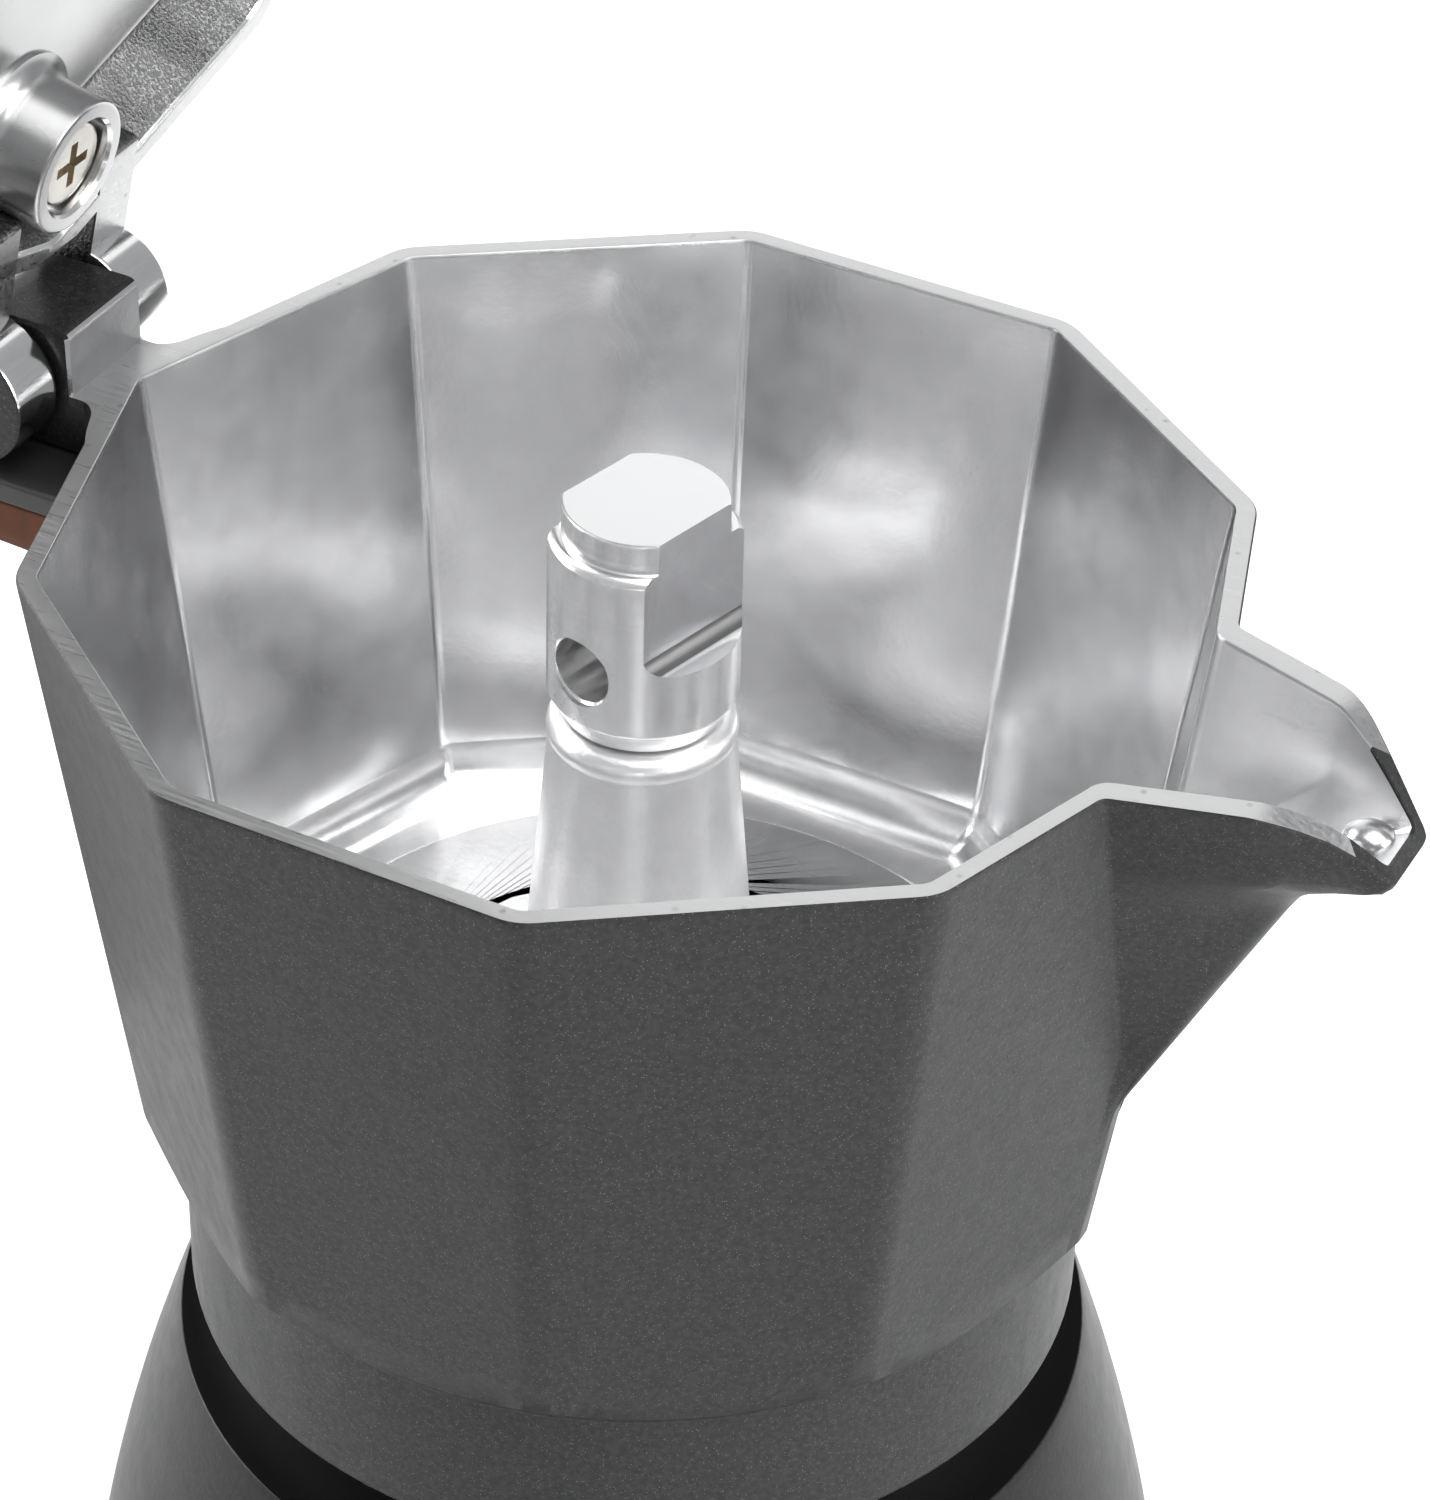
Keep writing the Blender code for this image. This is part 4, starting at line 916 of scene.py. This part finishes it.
def build_lid(m):
    """Ten-sided cover: coated outside, bare inside, with a ground edge, boss and two knuckles."""
    coat, ground, slope, flat, polished = range(5)
    rows = ((46.0, 9.2, coat), (12.0, 8.5, coat), (6.9, 8.4, coat), (6.3, 8.3, coat), (5.8, 8.0, coat),
            (0.6, 2.2, coat), (0.15, 1.5, coat), (0.0, 1.0, coat), (0.0, 0.55, coat), (0.2, GAP, ground),
            (1.75, GAP, ground), (1.95, 0.42, polished), (2.15, 0.7, slope), (6.0, 5.3, slope),
            (6.35, 5.65, slope), (6.8, 5.85, flat), (7.4, 5.9, flat), (14.0, 6.0, flat), (28.0, 6.2, flat),
            (46.0, 6.3, flat))
    mats = (m["coat"], m["ground"], m["rough"], m["plate"], m["knuckle"])
    shell = skin("pot_lid", [lid_ring(inset, z) for inset, z, _ in rows], mats, [b for _, _, b in rows][:-1])
    for sign in (1, -1):
        low, high = sorted((sign * KNUCKLE_IN, sign * KNUCKLE_OUT))
        arm = [(-44.5, RIM_Z + GAP), (-59.0, RIM_Z + GAP), (-59.0, HINGE_Z + KNUCKLE_R - 0.1),
               (-52.0, HINGE_Z + KNUCKLE_R - 0.1), (-44.5, RIM_Z + 7.2)]
        arm = rounded(arm, [0.6, 0.6, 0.6, 3.0, 0.6], 4)
        form = side_plate("arm_form", arm, low, high, (m["coat"], m["ground"], m["rough"]), 0.15)
        paint_faces(form, 1, lambda normal: normal.z < -0.9)
        paint_faces(form, 2, lambda normal: abs(normal.y) > 0.9 or normal.x > 0.5)
        join(shell, form)
        half = (KNUCKLE_OUT - KNUCKLE_IN) / 2
        barrel = ((KNUCKLE_R - 0.45, -half), (KNUCKLE_R - 0.12, -half + 0.12), (KNUCKLE_R, -half + 0.45),
                  (KNUCKLE_R, half - 0.45), (KNUCKLE_R - 0.12, half - 0.12), (KNUCKLE_R - 0.45, half))
        knuckle = lathe("knuckle_form", barrel, (m["knuckle"], m["coat"]), 96,
                        along((0, 1, 0), (HINGE_X, sign * (KNUCKLE_IN + half), HINGE_Z)))
        paint_faces(knuckle, 1, lambda normal: abs(normal.y) > 0.9)
        join(shell, knuckle)
    boss = [(BOSS_R - 0.4, -0.9), (BOSS_R - 0.1, -0.8), (BOSS_R, -0.5), (BOSS_R, 3.6)]
    boss += [(BOSS_R + 2.2 + x, 3.6 + z) for x, z in arc(0, 0, 2.2, 180, 110, 7)[1:]]
    boss += [(BOSS_R + 1.9, 11.3), (BOSS_R + 1.6, 11.6)]
    shift = Matrix.Translation((KNOB_X * MM, 0, 0))
    join(shell, lathe("boss_form", [(r, RIM_Z + z) for r, z in boss], (m["plate"],), 96, shift))
    recess = ((4.8, -2.0), (4.8, -0.95), (4.5, -0.6), (4.5, 2.2))
    across = along((0, 1, 0), (HINGE_X, 0, HINGE_Z))
    cut(shell, lathe("boss_recess", [(r, RIM_Z + z) for r, z in recess], (m["bright"],), 64, shift),
        lathe("boss_hole", ((2.3, RIM_Z), (2.3, RIM_Z + 13)), (m["bright"],), 32, shift),
        lathe("knuckle_bore", ((PIN_R + 0.2, -14), (PIN_R + 0.2, 14)), (m["bright"],), 48, across),
        lathe("lug_relief", ((9.8, -KNUCKLE_IN + 0.02), (9.8, KNUCKLE_IN - 0.02)), (m["rough"],), 96,
              across))
    return opened(bake(shell))


def screw_cross(screw, reach, width, low, high, mats, frame):
    """Cuts a cross recess into a screw's head."""
    slot = [(-reach, -width), (reach, -width), (reach, width), (-reach, width)]
    for turn in (0.0, math.pi / 2):
        tool = plate("cross_form", slot, low, high, mats, edge=0.05)
        tool.data.transform(frame @ Matrix.Rotation(turn, 4, "Z"))
        cut(screw, tool)


def build_knob(m):
    """Turned wooden knob and the pan-head screw that holds it through the boss."""
    base = RIM_Z + 11.6 + GAP
    shift = Matrix.Translation((KNOB_X * MM, 0, 0))
    outer = smooth_path(((7.0, 0.0), (7.7, 0.35), (8.0, 1.0), (7.45, 5.0), (7.9, 10.0), (9.3, 16.0),
                         (9.6, 19.0), (8.7, 21.5), (6.0, 23.2), (3.0, 23.7), (1.5, 23.8)), 4)
    profile = [(3.4, base)] + [(r, base + z) for r, z in outer] + [(1.5, base + 14.5), (3.4, base + 14.5)]
    knob = lathe("pot_knob", profile, (m["wood"],), 96, shift, wrap=True)
    head = ((3.4, RIM_Z - 0.1), (3.75, RIM_Z), (3.95, RIM_Z + 0.33), (3.95, RIM_Z + 1.9), (2.0, RIM_Z + 1.9),
            (2.0, base + 12.0))
    screw = lathe("pot_knob_screw", head, (m["screw"],), 64, shift)
    screw_cross(screw, 2.2, 0.5, RIM_Z - 1.0, RIM_Z + 1.0, (m["recess"],), shift)
    bake(screw, 30.0)
    return opened(knob), opened(screw)


# ---------------- handle

def bar_rings(near, far, rounding, narrow, corner_steps):
    """Sections along the handle. near and far give a section's two faces, inwards from the strap's back."""
    rows = [(x, d, w, g) for (x, d), w, g in zip(STRAP_PATH, STRAP_WIDTH, GRIP_DEPTH)]
    rows = smooth_path(rows, 8)
    rings = []
    for k, (x, depth, width, grip) in enumerate(rows):
        ahead = rows[min(k + 1, len(rows) - 1)]
        behind = rows[max(k - 1, 0)]
        run = Vector((ahead[0] - behind[0], 0.0, behind[1] - ahead[1])).normalized()
        inward = Vector((-run.z, 0.0, run.x))
        origin = Vector((x, 0.0, RIM_Z - depth))
        half = width - narrow
        outline = rounded([(-half, near(grip)), (half, near(grip)), (half, far(grip)), (-half, far(grip))],
                          [rounding[0], rounding[0], rounding[1], rounding[1]], corner_steps)
        rings.append([origin + inward * d + Vector((0.0, y, 0.0)) for y, d in outline])
    return rings


def strap_x(depth):
    """Where the back of the strap's upright part lies at a depth."""
    upright = [point for point in STRAP_PATH if point[1] > 20.0]
    for (x0, d0), (x1, d1) in zip(upright, upright[1:]):
        if depth <= d1:
            return lerp(x0, x1, (depth - d0) / (d1 - d0))
    return upright[-1][0]


def screw_frame(depth):
    """Matrix that points a grip screw into the back of the strap."""
    return along((1, 0, 0), (strap_x(depth), 0.0, RIM_Z - depth))


def build_handle(m):
    """Bent strap, wooden grip under it and the two screws that hold them together."""
    strap = skin("pot_handle_strap",
                 bar_rings(lambda g: 0.0, lambda g: STRAP_THICK, (0.5, 0.3), 0.0, 4), (m["black"],))
    grip = skin("pot_handle_grip",
                bar_rings(lambda g: STRAP_THICK + GAP, lambda g: STRAP_THICK + g, (0.4, 2.6), 0.5, 8),
                (m["wood"],))
    wall = OUTER.corner(6.0) + 0.45
    reach = 14 * math.tan(HALF_SIDE)
    corner = [(-wall, 0.0), (-wall + reach, 14.0), (-30.0, 14.0), (-30.0, -14.0), (-wall + reach, -14.0)]
    top = RIM_Z - 6.0
    seat = ((3.2, -3.0), (3.2, 0.4), (1.75, 1.8), (1.75, 16.0))
    shift = Matrix.Translation((HANDLE_SCREW_X * MM, 0, 0))
    for piece, mat, hole in ((strap, m["black"], ((2.3, top - 4), (2.3, top + 2))),
                             (grip, m["wood"], ((4.3, top - 14), (4.3, top + 2)))):
        cut(piece, plate("front_cut", corner, RIM_Z - 25.0, RIM_Z + 5.0, (mat,), edge=0),
            lathe("screw_hole", hole, (mat,), 32, shift))
        for depth in GRIP_SCREW_DEPTHS:
            cut(piece, lathe("screw_seat", seat, (mat,), 48, screw_frame(depth)))
        bake(piece)
    screws = []
    for name, depth in zip(("pot_grip_screw_upper", "pot_grip_screw_lower"), GRIP_SCREW_DEPTHS):
        frame = screw_frame(depth)
        screw = lathe(name, ((2.4, -0.3), (2.75, -0.2), (2.9, 0.05), (2.9, 0.45), (1.45, 1.9), (1.45, 12.0)),
                      (m["screw"],), 48, frame)
        screw_cross(screw, 1.7, 0.35, -1.0, 0.5, (m["screw"],), frame)
        screws.append(bake(screw, 30.0))
    return strap, grip, screws


# ---------------- scene

def area_light(name, place, size, power):
    data = bpy.data.lights.new(name, "AREA")
    data.shape = "RECTANGLE"
    data.size, data.size_y = size
    data.energy = power
    obj = bpy.data.objects.new(name, data)
    obj.location = place
    obj.rotation_mode = "QUATERNION"
    obj.rotation_quaternion = (Vector(LIGHT_TARGET) - Vector(place)).to_track_quat("-Z", "Y")
    bpy.context.scene.collection.objects.link(obj)


def studio():
    """Pale floor that sweeps up at the back, and soft light."""
    world = bpy.data.worlds.new("studio")
    world.use_nodes = True
    background = world.node_tree.nodes["Background"]
    background.inputs["Color"].default_value = (0.9, 0.92, 0.95, 1.0)
    background.inputs["Strength"].default_value = 0.4
    bpy.context.scene.world = world
    p = Paint("pale_floor", (0.93, 0.93, 0.93), 0.9, 0.0)
    p.feed("Base Color", p.mix(p.noise(4.0, 2.0), (0.92, 0.92, 0.92), (0.94, 0.94, 0.94)))
    sweep = [(-3.0, 0.0), (1.0, 0.0)] + [(1.0 + 0.8 * math.sin(a), 0.8 - 0.8 * math.cos(a))
                                         for a in [math.pi / 2 * k / 16 for k in range(1, 17)]] + [(1.8, 3.0)]
    points = [(x, y, z) for x in (-4.0, 4.0) for y, z in sweep]
    count = len(sweep)
    faces = [(k, k + 1, count + k + 1, count + k) for k in range(count - 1)]
    mesh = bpy.data.meshes.new("floor_sweep")
    mesh.from_pydata(points, [], faces)
    mesh.materials.append(p.mat)
    mesh.shade_smooth()
    floor = bpy.data.objects.new("floor_sweep", mesh)
    floor.rotation_euler = (0, 0, math.radians(27))
    bpy.context.scene.collection.objects.link(floor)
    area_light("back_softbox", (-0.46, 0.90, 0.86), (1.5, 1.1), 3.6)
    area_light("top_softbox", (0.25, -0.1, 1.1), (0.9, 0.9), 8.0)
    area_light("left_softbox", (-0.85, -0.15, 0.40), (0.5, 0.75), 12.0)
    area_light("right_softbox", (0.85, 0.02, 0.40), (0.5, 0.75), 10.5)


def camera():
    """The photograph's viewpoint."""
    data = bpy.data.cameras.new("camera")
    data.lens = CAMERA_LENS
    data.sensor_fit = "VERTICAL"
    data.sensor_height = 36.0
    obj = bpy.data.objects.new("camera", data)
    turn = Matrix((CAMERA_RIGHT, CAMERA_UP, [-c for c in CAMERA_AHEAD])).transposed().to_4x4()
    obj.matrix_world = Matrix.Translation(CAMERA_PLACE) @ turn
    bpy.context.scene.collection.objects.link(obj)
    bpy.context.scene.camera = obj


def materials():
    """Every material, by the short name that the pieces ask for."""
    coat = (0.028, 0.0282, 0.0288)
    return {
        "coat": coat_paint("graphite_coat", coat, (0.17, 0.17, 0.17), 0.43),
        "boiler": coat_paint("boiler_coat", (0.011, 0.011, 0.0113), (0.06, 0.06, 0.06), 0.36),
        # Near-black neck coat, darker than the boiler's own coat: painted shade of the gap under the skirt.
        "neck": matte_paint("neck_painted_shade", (0.004, 0.004, 0.004), 0.6, 1500.0, 0.02),
        "lug": coat_paint("lug_coat", (0.02, 0.02, 0.0205), (0.12, 0.12, 0.12), 0.26),
        "lug_face": satin_paint("lug_face", (0.6, 0.6, 0.605), 0.3, 0.05, 0.3),
        "ground": ground_paint(),
        "satin": satin_paint("satin_inside", (0.86, 0.86, 0.865), 0.2, 0.06, 0.1, 0.4),
        # Darker, rougher copy of the inside satin: its darkness is painted shade on the channel, the inner
        # rim chamfer, the floor's middle and the lip mound.
        "channel": satin_paint("satin_painted_shade", (0.6, 0.6, 0.605), 0.28, 0.06, 0.22, 0.4),
        "cast": satin_paint("cast_column", (0.93, 0.93, 0.935), 0.38, 0.05, 0.6, metal=0.8),
        "rough": mottled_paint("cast_slope", (0.095, 0.095, 0.095), (0.26, 0.26, 0.26), 0.3),
        "plate": satin_paint("lid_plate", (0.57, 0.57, 0.57), 0.26, 0.05, 0.06),
        "bright": satin_paint("bright_edge", (0.93, 0.93, 0.93), 0.2, 0.04, 0.05),
        "knuckle": turned_paint("polished_knuckle", (0.9, 0.9, 0.9), 0.14, 1500.0),
        "cap": turned_paint("turned_cap", (0.95, 0.95, 0.95), 0.24, 2600.0, 0.85),
        # Darker copy of the turned metal for the cap's upward faces: painted shade on the lit top.
        "cap_top": turned_paint("cap_top_painted_shade", (0.72, 0.72, 0.72), 0.2, 2600.0),
        # Dark grey on the round at the foot of each cap flat: a painted reflection.
        "groove": satin_paint("milled_groove", (0.2, 0.2, 0.2), 0.3, 0.04, 0.1),
        "milled": satin_paint("milled_flat", (0.86, 0.86, 0.87), 0.22, 0.04, 0.12, 0.0, (1, 1, 0.1)),
        "screw": turned_paint("plated_screw", (0.56, 0.54, 0.5), 0.22, 1200.0),
        "brass": turned_paint("brass", (0.74, 0.6, 0.36), 0.3, 1200.0),
        "recess": turned_paint("screw_recess", (0.62, 0.56, 0.46), 0.3, 1200.0),
        "sheet": satin_paint("pressed_sheet", (0.8, 0.8, 0.81), 0.3, 0.06, 0.1),
        "pierced": perforated_paint(),
        "wood": wood_paint(),
        "black": matte_paint("black_bracket", (0.022, 0.022, 0.023), 0.42, 900.0, 0.35),
        "gasket": matte_paint("white_silicone", (0.78, 0.77, 0.74), 0.55),
        "washer": matte_paint("red_silicone", (0.42, 0.06, 0.045), 0.55),
    }


def build_spring(m):
    """Coil of round wire between the valve pin's collar and the retainer."""
    low, high = (Vector(corner) * 1000.0 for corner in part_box("valve_spring"))
    middle = 0.5 * (low + high)
    wire = 0.45
    radius = 0.5 * (high.x - low.x) - wire
    rings = []
    for k in range(SPRING_TURNS * 32 + 1):
        a = math.pi * k / 16
        y = lerp(low.y + wire, high.y - wire, k / (SPRING_TURNS * 32))
        out = Vector((math.cos(a), 0.0, math.sin(a)))
        centre = Vector((middle.x, y, middle.z)) + out * radius
        rings.append([centre + (out * math.cos(b) + Vector((0.0, 1.0, 0.0)) * math.sin(b)) * wire
                      for b in even_angles(10)])
    return skin("pot_valve_spring", rings, (m["bright"],)), Vector((middle.x, high.y, middle.z)) * MM


def keep(frame, m):
    """Better materials on the CAD nodes that stay."""
    for node, key in (("funnel_basket", "sheet"), ("funnel_tube", "sheet"), ("funnel_plate", "pierced"),
                      ("filter_plate", "pierced"), ("gasket", "gasket"), ("valve_body", "brass"),
                      ("valve_washer", "washer"), ("valve_pin", "bright"),
                      ("valve_retainer", "screw"), ("knob_insert", "brass"), ("hinge_pin", "knuckle"),
                      ("handle_screw", "screw")):
        obj = frame["nodes"][node]
        obj.data.materials.clear()
        obj.data.materials.append(m[key])


def add(piece, body, node):
    """The piece rides on a body and stands for a CAD node."""
    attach(piece, body)
    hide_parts(node)


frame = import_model()
camera()
paints = materials()
keep(frame, paints)
add(build_chamber(paints), "upper", "upper_chamber")
add(build_cap(paints), "upper", "column_cap")
add(build_boiler(paints), "boiler", "boiler")
add(build_lid(paints), "lid", "lid")
knob, knob_screw = build_knob(paints)
add(knob, "lid", "knob")
add(knob_screw, "lid", "knob_screw")
strap, grip, grip_screws = build_handle(paints)
add(strap, "upper", "handle_strap")
add(grip, "upper", "handle_grip")
for piece, node in zip(grip_screws, ("grip_screw_upper", "grip_screw_lower")):
    add(piece, "upper", node)
spring, spring_end = build_spring(paints)
add(spring, "boiler", "valve_spring")
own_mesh(spring)
studio()
bpy.context.scene.view_settings.view_transform = "Standard"
